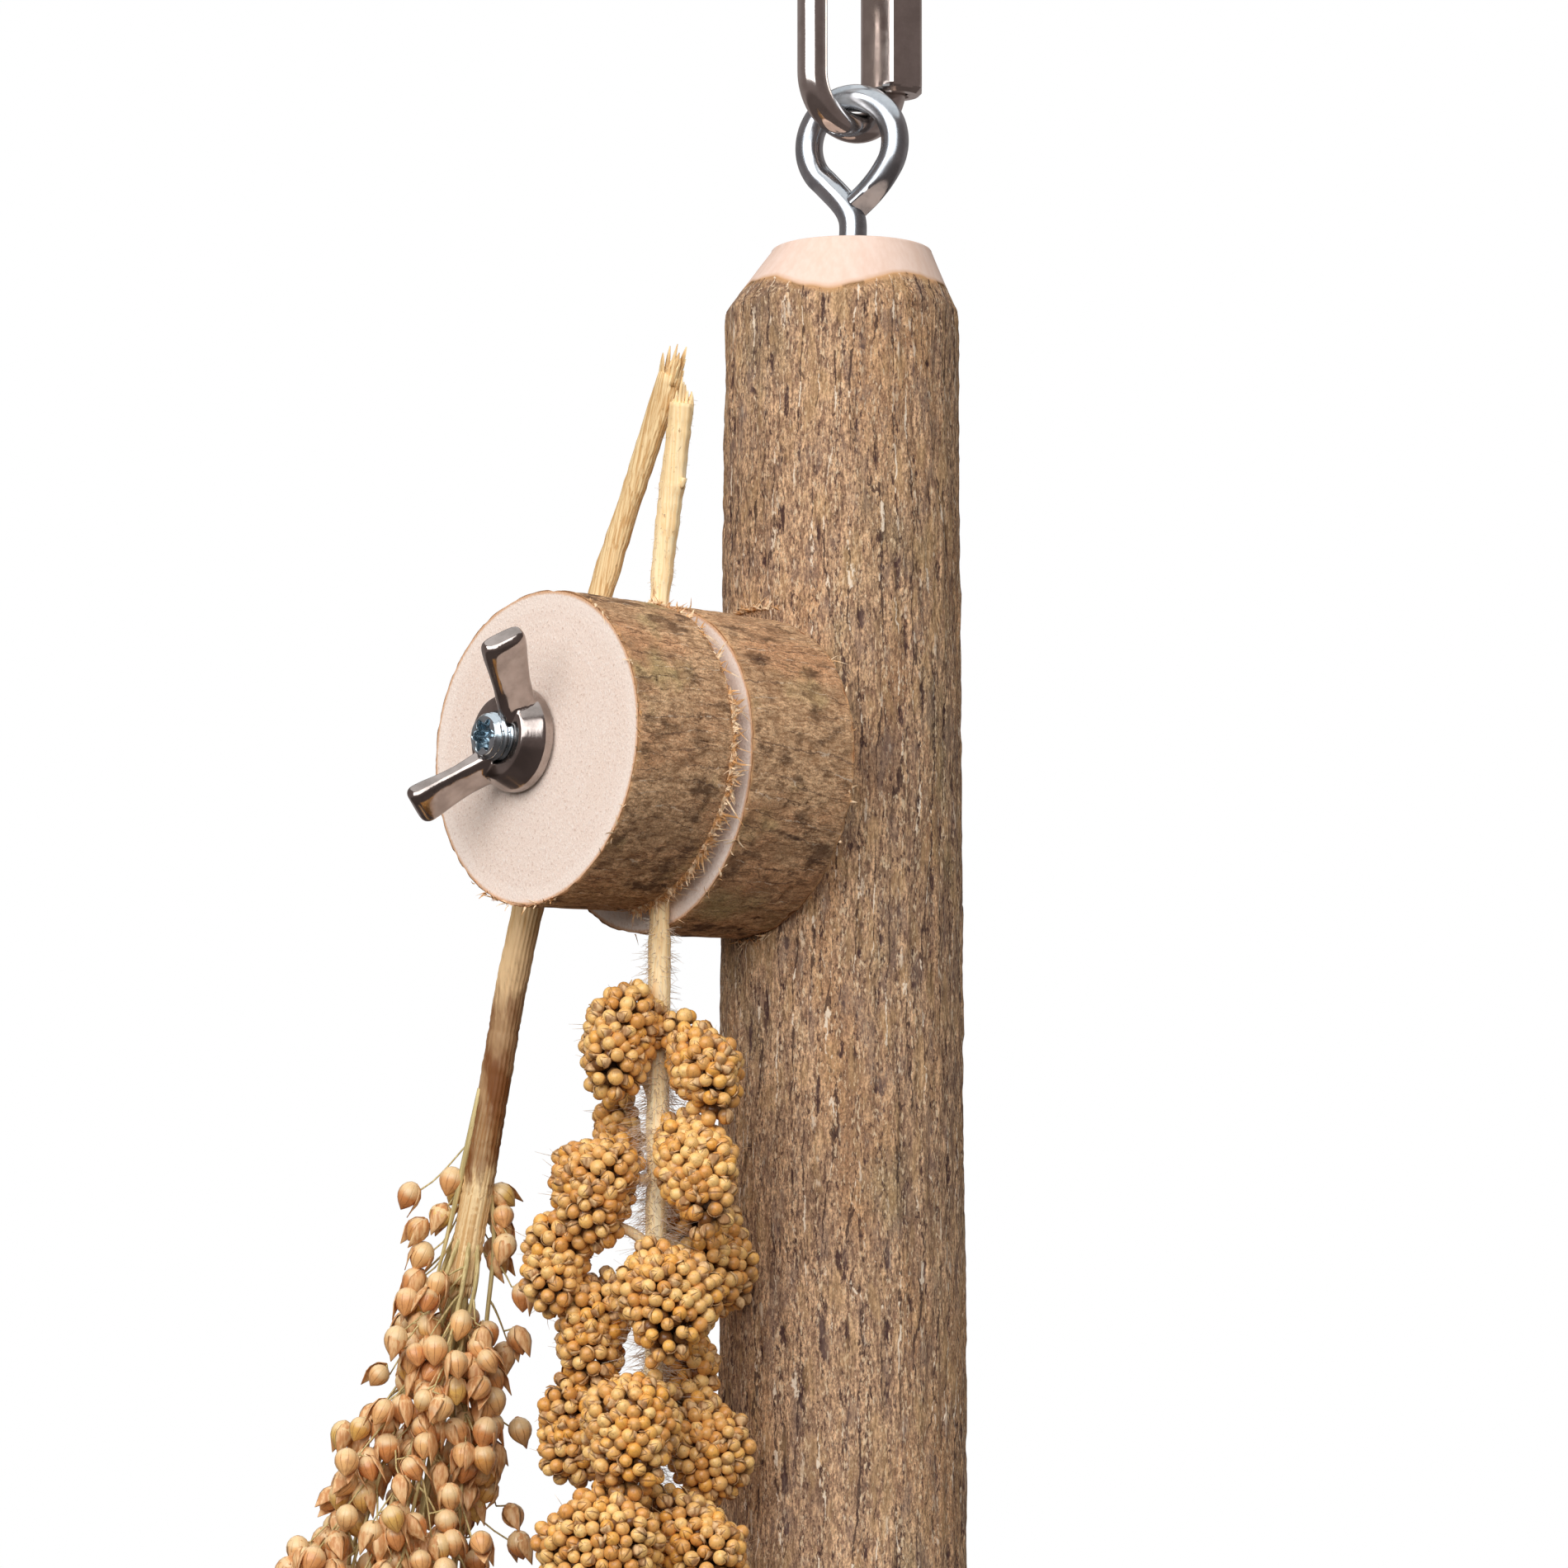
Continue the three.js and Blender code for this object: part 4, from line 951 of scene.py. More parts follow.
# Point in the plane of the clamp gap, measured from the middle of the discs
def in_gap(x, z):
    return np.array([BRANCH_X + x, GAP_Y, DISC_MID_Z + z])


# Place of the foxtail stalk and of the axis of its head
def foxtail_at(z):
    return in_gap(3.6 - 2.6 * max(0, HEAD_TOP - z) / HEAD_LENGTH, z)


# Fibres, clouds and specks of dry straw
straw_fibre, taken = new_effect(
    "straw_fibre", {"Place": (0, 0, 0), "Pale": tone(246, 218, 170), "Deep": tone(206, 164, 108)},
)
place = taken["Place"]
fibre = grain(place, (3400, 3400, 60), 3, 0.6)
straw = washed(taken["Deep"], taken["Pale"], fibre, 0.38, 0.62)
straw = washed(straw, taken["Deep"], grain(place, (190, 190, 60), 3, 0.6), 0.44, 0.7, 0, 0.6)
speck = grain(place, (1800, 1800, 800), 3, 0.6)
straw = washed(straw, tone(146, 104, 62), speck, 0.64, 0.74, 0, 0.7)
give(straw_fibre, Color=straw, Roughness=ranged(fibre, 0.3, 0.7, 0.7, 0.45), Height=fibre)


# Dry straw in its own colours, leaning off the upright
def straw_finish(name, pale_tone, deep_tone, lean):
    finish, tree, shader = new_finish(name)
    parts = apart(placed(tree))
    laid = {0: plus(parts[0], parts[2], -lean), 1: parts[1], 2: parts[2]}
    inputs = {"Place": fit("CombineXYZ", laid).outputs[0], "Pale": pale_tone, "Deep": deep_tone}
    effect = fit("Group", inputs, node_tree=straw_fibre).outputs
    surface(shader, effect["Color"], effect["Roughness"], (0.5, 0.00012, effect["Height"]), 0.35)
    return finish


# Straw with fine ribs along it and a little unevenness
def ribbed(line, wide, thick, ribs, depth, seed):
    uneven = np.random.default_rng(seed).normal(0, 0.022, (1, len(line), 1))
    rib = 1 + depth * np.cos(ribs * turns(4 * ribs) + 0.7) + uneven
    wide, thick = (np.reshape(part, (1, -1, 1)) * rib for part in (wide, thick))
    return rods([line], wide, thick, 4 * ribs, (0, 1, 0))


# Split slivers that stand on from a broken straw
def slivers(root, way, spread, count, lengths, widths, random):
    shift = random.uniform(-spread, spread, count)
    roots = root + np.column_stack([shift, random.uniform(-0.8, 0.8, count), 0 * shift])
    ways = np.asarray(way) + np.column_stack([0.06 * shift, random.normal(0, 0.05, count), 0 * shift])
    lines = fibre_lines(roots, ways, random.uniform(*lengths, count), 0.05, random)
    shape = np.array([1, 1, 0.95, 0.75, 0.2])
    return rods(lines, random.uniform(*widths, count)[:, None] * shape, 0.5 * shape, 6, (0, 1, 0))


# Tapered hairs, three-sided
def hairs(roots, ways, lengths, random):
    run = np.linspace(0, 1, 4)[None, :, None]
    bend = random.normal(0, 1, (len(roots), 1, 3))
    lines = roots[:, None] + lengths[:, None, None] * (ways[:, None] * run + 0.2 * bend * run ** 2)
    shape = HAIR_THICK * np.array([1, 0.9, 0.65, 0.3])
    return rods(lines, shape, shape, 3, (0.31, 0.17, 0.93))


random = np.random.default_rng(31)
stalk_line = smooth_line([
    in_gap(7.9, 44), in_gap(6.4, 36), in_gap(5.4, 31), foxtail_at(20), foxtail_at(-20), foxtail_at(HEAD_TOP),
], 14)
stalk_z = stalk_line[:, 2] - DISC_MID_Z
clear = eased(np.abs(stalk_z), 20.5, 24)
knot = np.exp(-((stalk_z - 34) / 1.5) ** 2)
stalk_wide = FOXTAIL_WIDE + clear * (0.25 + 0.5 * eased(stalk_z, 24, 34)) + 0.45 * knot
stalk_wide = stalk_wide + clear * 0.14 * np.sin(1.7 * stalk_z) * np.sin(0.61 * stalk_z)
axis_line = smooth_line([foxtail_at(z) for z in np.linspace(HEAD_TOP + 2.5, HEAD_TOP - HEAD_LENGTH, 14)], 5)
axis_wide = np.linspace(2.9, 1.3, len(axis_line)) + 0.15 * np.sin(np.arange(len(axis_line)) * 0.9)
fox_stalk = ribbed(stalk_line, stalk_wide, STALK_THICK - 0.05 + 0.5 * clear, 9, 0.03, 32)
fox_axis = ribbed(axis_line, axis_wide, axis_wide, 6, 0.05, 33)
fox_top = slivers(in_gap(7.7, 42.5), (0.2, 0, 1), 1.0, 14, (2.0, 4.2), (0.6, 1.2), random)
bud_lines = [np.linspace(in_gap(x, z), in_gap(x + side * 0.9, z + 0.8), 4) for x, z, side in FOXTAIL_BUDS]
buds = rods(bud_lines, (1.3, 1.2, 0.9, 0.3), 0.8, 8, (0, 1, 0))
down_z = np.concatenate([
    random.uniform(21, 45, DOWN_ABOVE), random.uniform(-34, -20.5, DOWN_BELOW),
    random.uniform(-134, -34, DOWN_HEAD),
])
on_stalk = down_z > HEAD_TOP
down_turn = random.uniform(0, 2 * np.pi, len(down_z))
down_x = np.interp(-down_z, -stalk_z, stalk_line[:, 0])
down_x = np.where(on_stalk, down_x, [foxtail_at(z)[0] for z in down_z])
down_r = np.where(on_stalk, 1.25, 1.35 + 0.7 * (down_z - HEAD_TOP) / HEAD_LENGTH)
down_from = ring(down_x, GAP_Y, DISC_MID_Z + down_z, down_r, down_turn)
down_out = ring(0, 0, 0, 1, down_turn)
down_way = down_out + random.normal(0, 0.4, down_out.shape) - 0.3 * UP
down_long = random.uniform(0.4, 1.2, len(down_z)) * np.where(on_stalk, np.where(down_z > 0, 0.4, 1.3), 2.6)
down = hairs(down_from, down_way, down_long, random)
foxtail_straw = straw_finish("foxtail_straw", tone(255, 234, 190), tone(246, 208, 152), 0.1)
# Painted light: the head's axis gets a paler copy of the foxtail straw, standing in for light in the shade of
# the lobes
axis_straw_painted_light = straw_finish("axis_straw_painted_light", tone(255, 242, 206), tone(255, 226, 172), 0.03)
down_hair = plain_finish(
    "down_hair", (900, 900, 900), 2, 0.35, 0.65, tone(224, 202, 180), tone(250, 237, 223), 0.75, 0.5,
)
stem_finishes = (foxtail_straw, axis_straw_painted_light, down_hair)
stem_shells = (fox_stalk, fox_axis, fox_top, buds, down)
foxtail_stem = built("foxtail_straw", stem_finishes, (0, 1, 0, 0, 2), stem_shells)
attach(foxtail_stem, "foxtail")
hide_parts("foxtail_stem")


# Foxtail lobes: lumps of round golden grains packed on short side twigs that wind round the head's axis.
# Each grain sits in a thin husk with two seams; dry scales clasp it from behind and a few bristles stand off.
LOBES, LOBE_R, LOBE_HALF, LOBE_OUT = 21, 5.6, 8.6, 8.6
LOBE_START, LOBE_TURN, LOBE_LEAN, LOBE_BEND, END_SHRINK = -99.5, 112.5, 20, 0.025, 0.08
GRAINS, DEEP_GRAINS, GRAIN_R, GRAIN_GAP = 142, 84, 0.96, 2.016
OUTER_INSET, DEEP_INSET, CORE_INSET, SCALES, BRISTLES = 0.9, 2.2, 2.9, 120, 26
SCALE_ANGLES, SCALE_WIDE = (160, 128, 98, 66, 34), (0.5, 1.3, 1.6, 1.25, 0.1)
# How far each lobe is moved aside and up, and its width and length to the usual ones, from the top down
LOBE_SHIFTS = (
    (2.0, 2.4, 0.95, 1.0), (-0.9, 3.6, 0.84, 0.95), (-7.0, 1.5, 0.62, 0.9), (1.0, -1.6, 0.95, 0.82),
    (1.2, 4.6, 0.86, 1.25), (1.4, 0.0, 0.97, 0.97), (-4.1, 3.4, 0.78, 0.84), (0.6, 2.2, 1.12, 0.98),
    (-4.3, 0.8, 0.72, 0.75), (-1.3, 9.6, 0.95, 0.95), (-0.4, 0.2, 0.86, 0.98), (-1.6, 3.9, 0.92, 1.0),
    (-5.0, 11.0, 0.84, 0.9), (-0.6, -1.4, 1.3, 1.0), (-1.2, 4.4, 1.1, 1.1), (-2.0, 7.0, 1.0, 1.0),
    (-1.0, 6.0, 1.0, 1.0), *[(0.0, 2.0, 1.0, 1.0)] * 4,
)


# Round shape from half widths along its length: points, triangles at its ends and quads between
def seed_shape(sides, heights, widths):
    rings = [ring(0, 0, height, width, turns(sides)) for height, width in zip(heights[1:-1], widths[1:-1])]
    points = np.vstack([heights[0] * UP, *rings, heights[-1] * UP])
    spot, beside = np.arange(sides), (np.arange(sides) + 1) % sides
    last = 1 + sides * (len(heights) - 3)
    feet = np.column_stack([0 * spot, 1 + beside, 1 + spot])
    tips = np.column_stack([0 * spot + len(points) - 1, last + spot, last + beside])
    lows = 1 + sides * np.arange(len(heights) - 3)[:, None]
    bands = np.stack([lows + spot, lows + beside, lows + sides + beside, lows + sides + spot], -1)
    return points, np.vstack([feet, tips]), bands.reshape(-1, 4)


# Copies of a seed at centres, turned to frames of three axes and sized
def strewn(shape, centres, frames, sizes):
    points, triangles, quads = shape
    laid = centres[:, None] + np.einsum("nkj,nji->nki", points[None] * sizes[:, None], frames)
    start = (np.arange(len(centres)) * len(points))[:, None, None]
    faces = (triangles[None] + start).reshape(-1, 3).tolist() + (quads[None] + start).reshape(-1, 4).tolist()
    return laid.reshape(-1, 3), faces


# Frames whose third axis points along given ways, turned about them at random
def frames_along(ways, random):
    ways = unit(ways)
    side = unit(np.cross(ways, random.normal(0, 1, ways.shape)))
    return np.stack([side, np.cross(ways, side), ways], axis=1)


# Husk of a seed: seams or stripes along it, specks, and a dry foot
seed_coat, taken = new_effect("seed_coat", {"Place": (0, 0, 0), "Tone": 0.5, "Stripes": 1.0, "Seam": 0.85})
place = taken["Place"]
parts = apart(place)
turned = worked("ARCTAN2", parts[1], parts[0])
wave = worked("COSINE", times(turned, taken["Stripes"]))
off_seam = worked("ABSOLUTE", worked("SUBTRACT", wave, taken["Seam"]))
specks = vectors("ADD", place, times(taken["Tone"], 37.0))
specks = fit("TexNoise", {"Vector": specks, "Scale": 1.7, "Detail": 4, "Roughness": 0.62}).outputs[0]
give(
    seed_coat, Rib=ranged(off_seam, 0.0, 0.13, 1, 0), Speck=specks,
    Foot=ranged(plus(parts[2], specks, -0.9), -0.95, -0.35, 1, 0),
    Tint=worked("FRACT", times(taken["Tone"], 7.31)),
)


# Seed skin with seams, a foot and specks: some seeds are tinted, and those with a tone below 0, the deep
# grains, are painted dark as shade between the outer grains
def seed_finish(name, skin_tones, tint_tone, rib_tone, foot_tone, stripes, seam, rib_share, gloss):
    finish, tree, shader = new_finish(name)
    seed_tone, place = read(tree, "seed_tone"), read(tree, "seed_place", "Vector")
    inputs = {"Place": place, "Tone": seed_tone, "Stripes": stripes, "Seam": seam}
    effect = fit("Group", inputs, node_tree=seed_coat).outputs
    skin = washed(*skin_tones, seed_tone, 0, 1)
    skin = washed(skin, tint_tone, effect["Tint"], 0.72, 0.95, 0, 0.7)
    # Painted shade: seeds with a tone below 0 are the deep grains inside a lobe, darkened to stand for the
    # shade between the outer grains
    skin = washed(skin, tone(96, 56, 24), seed_tone, -1, -0.5, 0.9, 0)
    skin = washed(skin, rib_tone, effect["Speck"], 0.48, 0.72, 0, 0.5)
    skin = mixed(times(effect["Rib"], rib_share), skin, rib_tone)
    skin = mixed(times(effect["Foot"], 0.8), skin, foot_tone)
    rough = ranged(effect["Speck"], 0.3, 0.7, gloss, gloss + 0.22)
    surface(shader, skin, rough, (0.4, 0.00012, effect["Rib"]), invert=True)
    shader.inputs["Coat Weight"].default_value, shader.inputs["Coat Roughness"].default_value = 0.25, 0.12
    return finish


golden_grain = seed_finish(
    "golden_grain", (tone(222, 156, 80), tone(252, 206, 130)), tone(246, 178, 76), tone(126, 76, 34),
    tone(150, 110, 70), 1.0, 0.84, 0.8, 0.22,
)
dry_scale = plain_finish(
    "dry_scale", (1300, 1300, 500), 3, 0.38, 0.62, tone(168, 122, 78), tone(230, 190, 138), 0.85, 0.6,
)
# Painted shade: a dark body inside each lobe that stands for the shade among its grains
painted_shade_core = plain_finish(
    "painted_shade_core", (1100, 1100, 1100), 3, 0.35, 0.65, tone(44, 24, 8), tone(88, 55, 25), 0.95, 0.8,
)


# Spots spread over an ellipsoid and pushed apart until they lie about evenly
def spread_spots(half_axes, count, random):
    spots = unit(random.normal(0, 1, (count, 3)))
    for sweep in range(30):
        places = spots * half_axes
        gaps = places[:, None] - places[None]
        apart_by = np.linalg.norm(gaps, axis=2) + 9 * np.eye(count)
        push = np.clip(GRAIN_GAP * 1.15 - apart_by, 0, None)[..., None] * gaps / apart_by[..., None]
        spots = unit((places + 0.35 * push.sum(axis=1)) / half_axes)
    return spots


# Scales that clasp grains from their foot up one side
def clasping(centres, frames, reach):
    turn = np.radians(SCALE_ANGLES)[None, :, None]
    side, out = frames[:, None, 0], frames[:, None, 2]
    lines = centres[:, None] + reach[:, None, None] * (np.sin(turn) * side + np.cos(turn) * out)
    return rods(lines, SCALE_WIDE, 0.1, 6, side - 0.35 * out, 0.4)


# Place in its seed and tone on the points of a piece that starts with its seeds
def keep_seeds(piece, shape, tones):
    keep(piece, "seed_place", np.tile(shape, (len(tones), 1)))
    keep(piece, "seed_tone", np.repeat(tones, len(shape)))


lobe_finishes = (golden_grain, painted_shade_core, foxtail_straw, dry_scale)
levels = np.radians(np.linspace(-90, 90, 9))
round_grain = seed_shape(14, np.sin(levels) * 1.08, np.cos(levels))
core_shape = seed_shape(24, np.sin(levels), np.cos(levels))
for order, (off_aside, off_up, wide, long) in enumerate(LOBE_SHIFTS):
    random = np.random.default_rng(400 + order)
    share = order / (LOBES - 1)
    size = (1 - END_SHRINK * (2 * share - 1) ** 2) * (1 + 0.07 * math.sin(2.6 * order))
    turn = math.radians(LOBE_START + LOBE_TURN * order)
    outwards, sidewards = heading(turn), heading(turn + math.pi / 2)
    lean_by = math.radians(LOBE_LEAN + 10 * math.sin(1.9 * order))
    long_way = math.cos(lean_by) * UP - math.sin(lean_by) * outwards
    wide_way = math.cos(lean_by) * outwards + math.sin(lean_by) * UP
    basis = np.stack([wide_way, sidewards, long_way])
    foot = foxtail_at(HEAD_TOP - 2.7 - share * (HEAD_LENGTH - 7.15))
    middle = foot + LOBE_OUT * size * outwards + off_aside * aside + off_up * UP
    half_axes = np.array([LOBE_R * wide, LOBE_R * wide, LOBE_HALF * long]) * size
    half_axes[1] *= 1 + 0.12 * eased(float(outwards @ front), 0.5, 0.95)
    fullness = half_axes[1] * half_axes[2] / LOBE_R / LOBE_HALF
    outer, deep = round(GRAINS * fullness), round(DEEP_GRAINS * fullness)
    grain_count = outer + deep
    outer_spots = spread_spots(half_axes - OUTER_INSET, outer, random)
    spots = np.vstack([outer_spots, spread_spots(half_axes - 2, deep, random)])
    inset = np.repeat([OUTER_INSET, DEEP_INSET], [outer, deep])[:, None]
    lumps = 0.07 * np.sin(3.7 * spots[:, 0] + order) + 0.08 * np.sin(5.3 * spots[:, 2] + 2 * order)
    lumps = lumps + 0.06 * np.sin(4.1 * spots[:, 1] + 3 * order) + random.normal(0, 0.055, grain_count)
    laid = (half_axes - inset) * spots * (1 + lumps[:, None])
    laid[:, 0] -= LOBE_BEND * laid[:, 2] ** 2
    centres = middle + laid @ basis
    ways = unit((spots / half_axes) @ basis) + random.normal(0, 0.35, spots.shape)
    grain_frames = frames_along(ways, random)
    grain_sizes = GRAIN_R * random.uniform(0.86, 1.06, (grain_count, 1))
    grain_sizes = grain_sizes * random.uniform(0.95, 1.04, (grain_count, 3))
    grains = strewn(round_grain, centres, grain_frames, grain_sizes)
    # Dark core of painted shade inside the grains
    core = strewn(core_shape, middle[None], basis[None], (half_axes - CORE_INSET)[None])
    twig_line = np.linspace(foot + (off_up + 1) * UP, middle, 9)
    twig_line[:, 2] += 0.9 * max(0.0, -off_aside) * np.sin(np.linspace(0, np.pi, 9))
    twig = rods([twig_line], 1.4, 1.3, 8, UP)
    clasped = random.permutation(outer)[:SCALES]
    scale_reach = GRAIN_R * random.uniform(1.02, 1.18, len(clasped))
    scales = clasping(centres[clasped], grain_frames[clasped], scale_reach)
    bristled = clasped[:BRISTLES]
    bristles = hairs(centres[bristled], ways[bristled], random.uniform(1.5, 2.3, BRISTLES), random)
    shells = (grains, core, twig, scales, bristles)
    lobe = built(f"foxtail_lobe_grains_{order + 1}", lobe_finishes, (0, 1, 2, 3, 3), shells)
    # The deep grains get a tone of -1, which paints them dark as shade
    keep_seeds(lobe, round_grain[0], np.where(np.arange(grain_count) < outer, random.random(grain_count), -1))
    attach(lobe, "foxtail")
    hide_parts(f"foxtail_lobe_{order + 1}")


# Proso stalk: a wider millet straw pressed in the clamp, swollen at a joint above it, its top splintered.
# Below the clamp a dry leaf sheath, stained brown, wraps it and ends torn over the panicle's thin axis.
PROSO_WIDE, SHEATH_TOP, SHEATH_FOOT, SHEATH_WIDE, SHEATH_THICK = 3.1, -24.0, -62.0, 4.3, 3.6
# Levels of the brown stain, and of a band of painted light under the clamp where the discs shade the stalk
STAIN_LOW, STAIN_HIGH, PAINTED_LIGHT_LOW, PAINTED_LIGHT_HIGH = (-43, -39), (-21.5, -14.5), (-34, -28), (-14, -8)


# Place of the proso stalk and of the axis of its panicle
def proso_at(z):
    above = max(z, SHEATH_TOP)
    return in_gap(-16.6 + 0.37 * above + 0.27 * (z - above), z)


# Round stem that tapers along a line
def tapered(line, thick, thin, sides, side_on=(0, 1, 0)):
    width = np.linspace(thick, thin, len(line))
    return rods([line], width, width, sides, side_on)


# Value that changes between two levels measured from the middle of the discs
def between(height, levels, *to):
    return ranged(height, *[(DISC_MID_Z + level) * MM for level in levels], *to)


random = np.random.default_rng(51)
proso_line = smooth_line([
    in_gap(5.8, 48), in_gap(-1.3, 35), proso_at(20), proso_at(0), proso_at(-20),
    *[proso_at(z) for z in np.linspace(-26, SHEATH_FOOT, 7)],
], 14)
proso_z = proso_line[:, 2] - DISC_MID_Z
joint = np.exp(-((proso_z - 24.5) / 3.6) ** 2)
above, below = eased(proso_z, 18.5, 21), eased(proso_z, -8, -12)
proso_wide = PROSO_WIDE + below * (SHEATH_WIDE - PROSO_WIDE)
proso_wide = proso_wide + above * (0.9 * joint + 0.75 * eased(proso_z, 31, 48))
proso_wide = proso_wide - 0.35 * eased(proso_z, -50, -62) + 0.06 * np.sin(1.3 * proso_z)
proso_thick = STALK_THICK - 0.05 + 0.5 * above + below * (SHEATH_THICK - STALK_THICK)
proso_shell = ribbed(proso_line, proso_wide, proso_thick, 22, 0.022, 52)
axis_line = smooth_line([proso_at(z) for z in (SHEATH_FOOT + 4.3, -85, -112)], 12)
axis_shell = tapered(axis_line, 1.6, 0.7, 8)
top_splinters = slivers(in_gap(5.2, 46.3), (0.42, 0, 1), 1.5, 20, (1.6, 5.0), (0.6, 1.3), random)
torn_end = slivers(proso_at(SHEATH_FOOT + 0.8), (-0.36, 0, -1), 1.7, 18, (0.8, 3.0), (0.6, 1.4), random)
lip_line = [proso_at(SHEATH_FOOT + 3), proso_at(SHEATH_FOOT), proso_at(SHEATH_FOOT - 1.2) - 1.5 * aside]
lip = rods([lip_line], 2.2, 0.5, 10, (0, 1, 0))
side_line = [proso_at(z) - off * aside for z, off in ((-38, 1.5), (-46, 2.1), (-54, 2.6), (-63, 3.4))]
side_stem = tapered(smooth_line(side_line, 6), 1.2, 0.3, 8)
proso_shells = (proso_shell, lip, top_splinters, torn_end, axis_shell, side_stem)
proso_straw = straw_finish("proso_straw", tone(250, 222, 172), tone(212, 168, 112), 0.32)
tree, base, skin = opened(proso_straw)
place = placed(tree)
height = plus(apart(place)[2], grain(place, (900, 900, 90), 4, 0.6), 0.016)
# Painted light: the stalk is paler just under the clamp, standing in for light in the shade of the discs
painted_light = times(between(height, PAINTED_LIGHT_LOW), between(height, PAINTED_LIGHT_HIGH, 0.85, 0))
stain = times(between(height, STAIN_LOW), between(height, STAIN_HIGH, 1, 0))
stain = times(stain, ranged(grain(place, (420, 420, 140), 3), 0.3, 0.6, 0.6, 0.95))
skin = mixed(painted_light, skin, tone(255, 216, 164))
tree.links.new(mixed(stain, skin, tone(118, 62, 8)), base)
green_straw = straw_finish("green_straw", tone(226, 206, 150), tone(180, 160, 106), 0.25)
proso_stem = built("proso_straw", (proso_straw, green_straw), (0, 0, 0, 0, 1, 1), proso_shells)
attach(proso_stem, "proso")
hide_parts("proso_stem")


# Proso panicle: twelve thin drooping branches that fan out from the stalk, each with side twigs of grains.
# A grain is a glossy drop in a striped husk, clasped by two papery pointed scales, on a hair-thin stalk.
BRANCHES, BRANCH_REACH, BRANCH_FALL, TWIGS, TWIG_GRAINS = 12, 16.0, 62.0, 20, 4
SEED_GAP, AXIS_GAP, DROOP, TWIG_THICK, TWIG_SIDE = 2.75, 3.4, 4.0, 0.24, (0.1, 0.95, 0.2)
HUSK_PROFILE = ((-1.92, 0.3), (-1.45, 1.08), (-0.5, 1.54), (0.5, 1.52), (1.5, 1.14), (2.5, 0.9))
HUSK_WIDE, HUSK_SHARE, DROP_HALF = (0.5, 1.7, 2.4, 2.1, 1.1, 0.1), 0.72, 1.9
# Single seeds by the stalk on some branches: level from the middle of the discs and distance aside
STRAYS = {
    3: ((-51, 3.4), (-55.2, 3.9), (-59.2, 4.3)),
    4: ((-51, -8.6), (-55.2, -6.8), (-53.6, -4.1), (-58.4, -5.7), (-61.5, -6.2)),
    8: ((-94, 12.8), (-80, 10.5)),
}
proso_grain = seed_finish(
    "proso_grain", (tone(220, 144, 84), tone(248, 194, 130)), tone(236, 196, 100), tone(160, 90, 42),
    tone(244, 214, 164), 9.0, 1.0, 0.6, 0.2,
)
paper_scale, tree, shader = new_finish("paper_scale")
veins = grain(placed(tree), (2200, 2200, 500), 3)
papery = washed(tone(208, 144, 88), tone(240, 196, 142), veins, 0.36, 0.64)
cloud = grain(placed(tree), (420, 420, 420), 2)
papery = washed(papery, tone(196, 152, 116), cloud, 0.58, 0.7, 0, 0.6)
surface(shader, papery, ranged(veins, 0.3, 0.7, 0.6, 0.42), (0.4, 0.0001, veins))

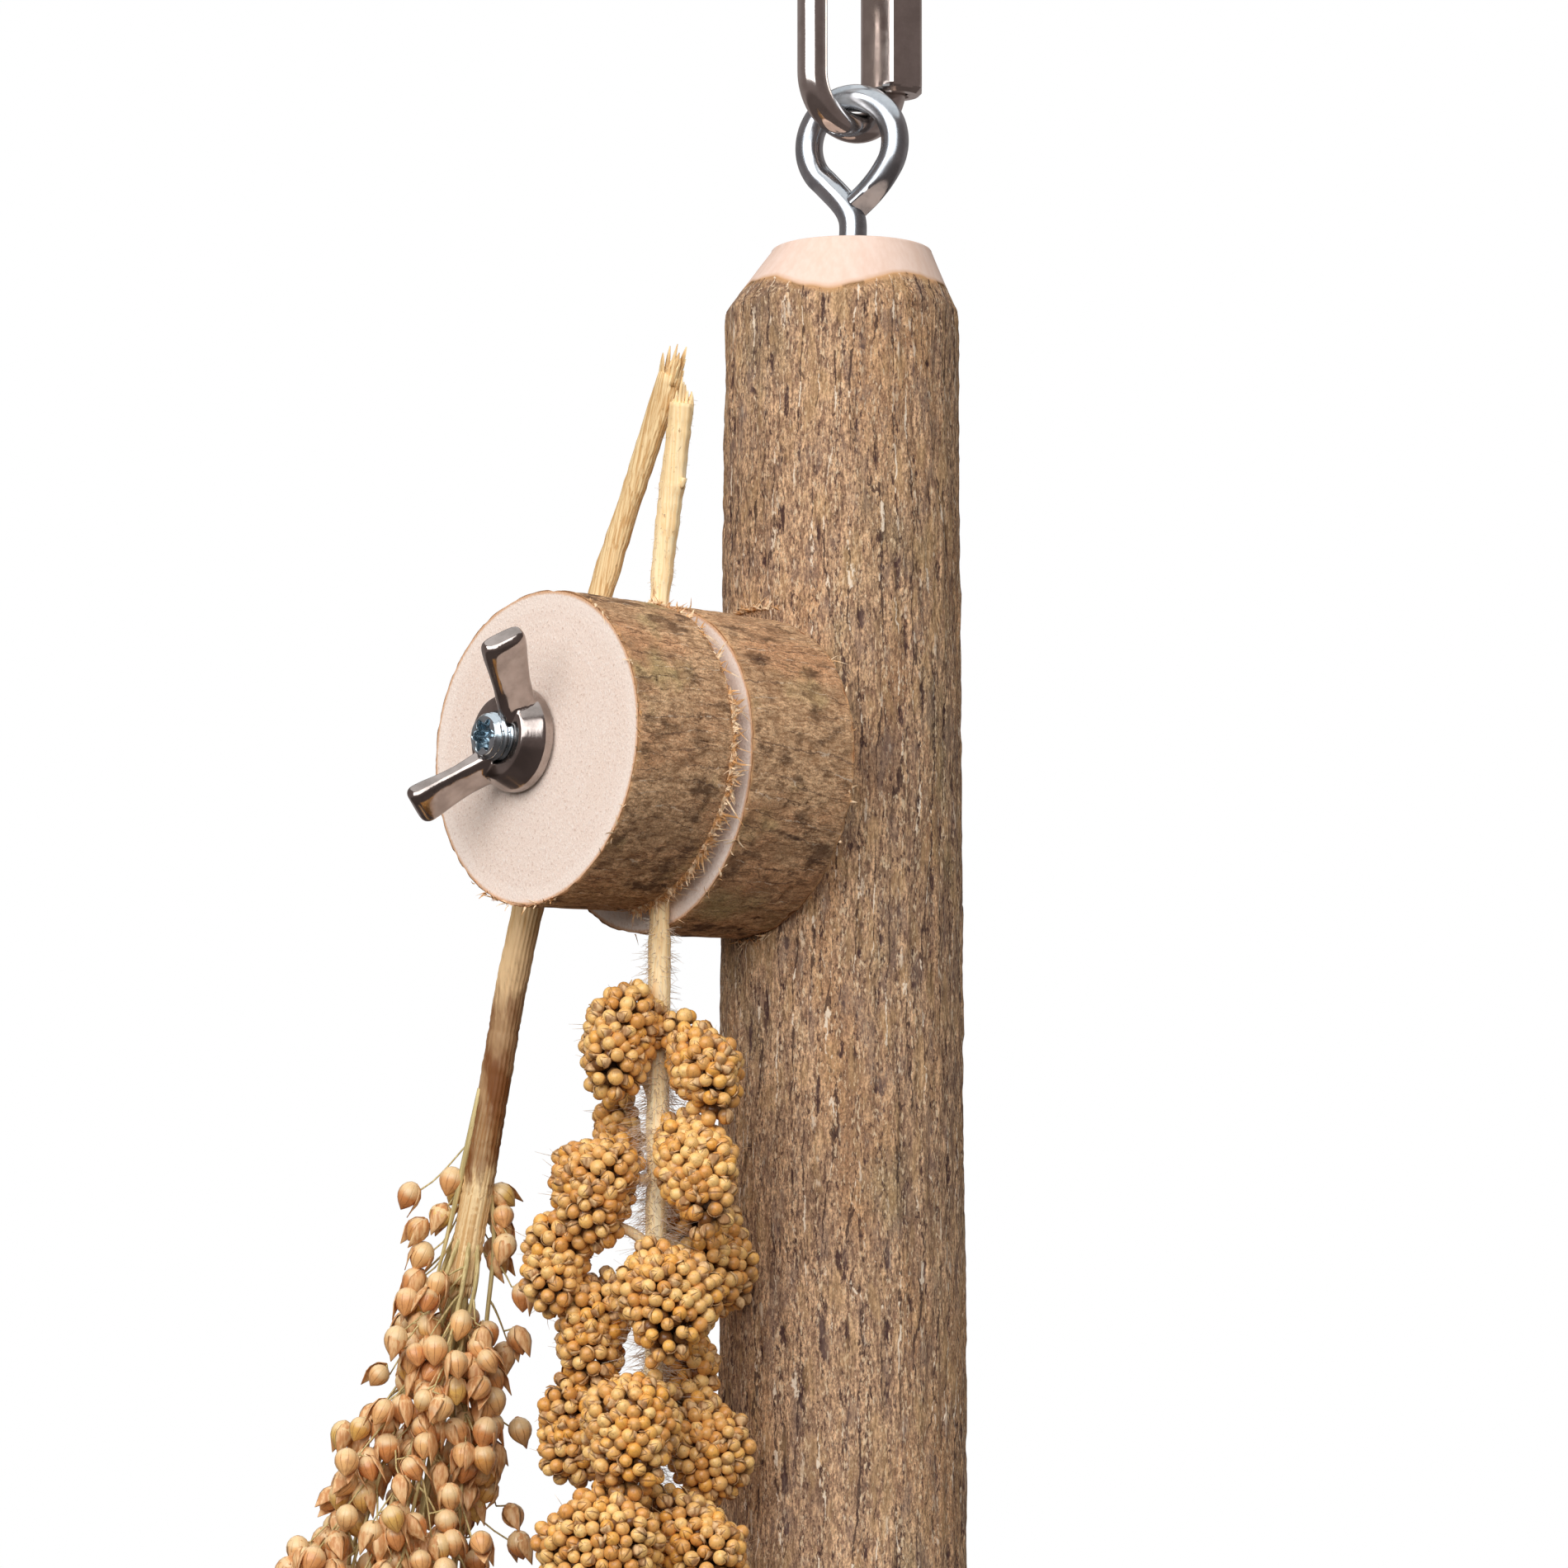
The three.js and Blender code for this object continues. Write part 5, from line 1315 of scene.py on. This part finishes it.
drop_heights = np.array([0, 0.1, 0.45, 0.95, 1.5, 2.05, 2.55, 3.0, 3.35, 3.6, 3.8]) - DROP_HALF
drop_widths = np.array([0, 0.5, 1.02, 1.36, 1.48, 1.42, 1.2, 0.86, 0.5, 0.24, 0])
drop_grain = seed_shape(16, drop_heights, drop_widths)
for order in range(BRANCHES):
    random = np.random.default_rng(700 + order)
    leaves = -47 - 2.6 * order
    reach = BRANCH_REACH * max(0.25, math.sqrt((order + 1) / BRANCHES))
    away = heading(math.radians(137.5 * order))
    start = min(leaves, SHEATH_FOOT + 1) if away @ front > 0.2 else leaves
    near = (SHEATH_WIDE / 2 if start > SHEATH_FOOT else 0.6) + 0.7
    fall = leaves - BRANCH_FALL - start
    spine = [proso_at(start + 7) + 0.7 * away]
    for run in np.linspace(0, 1, 7):
        spread = away * (near + (reach - near) * run ** 0.75)
        spine.append(proso_at(start + fall * run) + spread - DROOP * run * aside)
    spine = smooth_line(spine, 8)
    twigs, seeds = [tapered(spine, 0.7, 0.32, 7, TWIG_SIDE)], []
    for begin in np.sort(random.integers(3 if start > SHEATH_FOOT + 2 else 7, 52, TWIGS)):
        low = max(0, begin - 6) / 46
        off_spine = unit(heading(2 * np.pi * random.random()) + 0.75 * away)
        drift = off_spine * random.uniform(0.5, 1) * (2.8 + 6.6 * low)
        fall = spine[min(begin + 9, len(spine) - 1)] - spine[begin]
        fall = fall * random.uniform(0.1 + 0.7 * low, 0.5 + 0.7 * low)
        run = np.linspace(0, 1, 9)[:, None]
        twig = spine[begin] + run * fall + drift * run ** 0.8
        twigs.append(tapered(twig, 0.36, 0.18, 5, TWIG_SIDE))
        for at in twig[:-TWIG_GRAINS - 1:-1]:
            side = random.normal(0, 1, 3) + 0.5 * off_spine
            side[2] = -abs(side[2]) - 0.4
            side = unit(side)
            seat = at + side * random.uniform(1.6, 2.8)
            axis_gap = np.linalg.norm(seat - proso_at(seat[2] - DISC_MID_Z))
            if axis_gap > AXIS_GAP and all(np.linalg.norm(seat - other) > SEED_GAP for other, *_ in seeds):
                seeds.append((seat, at, side))
    for level, off in STRAYS.get(order, ()):
        seat = proso_at(level) + off * aside - 1.2 * front
        side = aside * np.sign(off) - 0.5 * UP
        twig = [proso_at(level + 7) + 0.2 * off * aside - 1.2 * front, seat - 1.6 * side, seat - 0.6 * side]
        twig = smooth_line(twig, 5)
        twigs.append(tapered(twig, TWIG_THICK, TWIG_THICK, 5, TWIG_SIDE))
        seeds.append((seat, twig[-1], side))
    seats, ends, outs = np.swapaxes(seeds, 0, 1)
    hang = unit(0.5 * outs + np.array([-0.2, 0.1, -0.95]) + random.normal(0, 0.25, seats.shape))
    drop_frames = frames_along(hang, random)
    drop_sizes = random.uniform(0.9, 1.08, (len(seats), 1)) * random.uniform(0.93, 1.05, (len(seats), 3))
    drops = strewn(drop_grain, seats, drop_frames, drop_sizes)
    run = np.linspace(0, 1, 5)[None, :, None]
    stalk_lines = ends[:, None] * (1 - run) + (seats - 1.85 * hang)[:, None] * run
    stalk_lines = stalk_lines + 0.5 * (run * (1 - run)) * outs[:, None]
    stalks = rods(stalk_lines, TWIG_THICK, TWIG_THICK, 5, (0.13, 0.31, 0.02))
    scales = []
    for side in (1, -1):
        held = random.random(len(seats)) < HUSK_SHARE
        facing = side * drop_frames[held, 0]
        agape = random.uniform(0, 0.55, (len(facing), 1))
        lines = [
            seats[held] + hang[held] * height + facing * (out + agape * max(0, height) * 0.5)
            for height, out in HUSK_PROFILE
        ]
        scales.append(rods(np.stack(lines, axis=1), HUSK_WIDE, 0.12, 8, facing[:, None], cup=0.34))
    kinds, shells = [0, 1, 1, 2] + [2] * len(twigs), [drops, *scales, stalks, *twigs]
    panicle = built(f"proso_panicle_{order + 1}", (proso_grain, paper_scale, green_straw), kinds, shells)
    keep_seeds(panicle, drop_grain[0] / DROP_HALF, random.random(len(seats)))
    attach(panicle, "proso")
    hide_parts(f"proso_branch_{order + 1}")
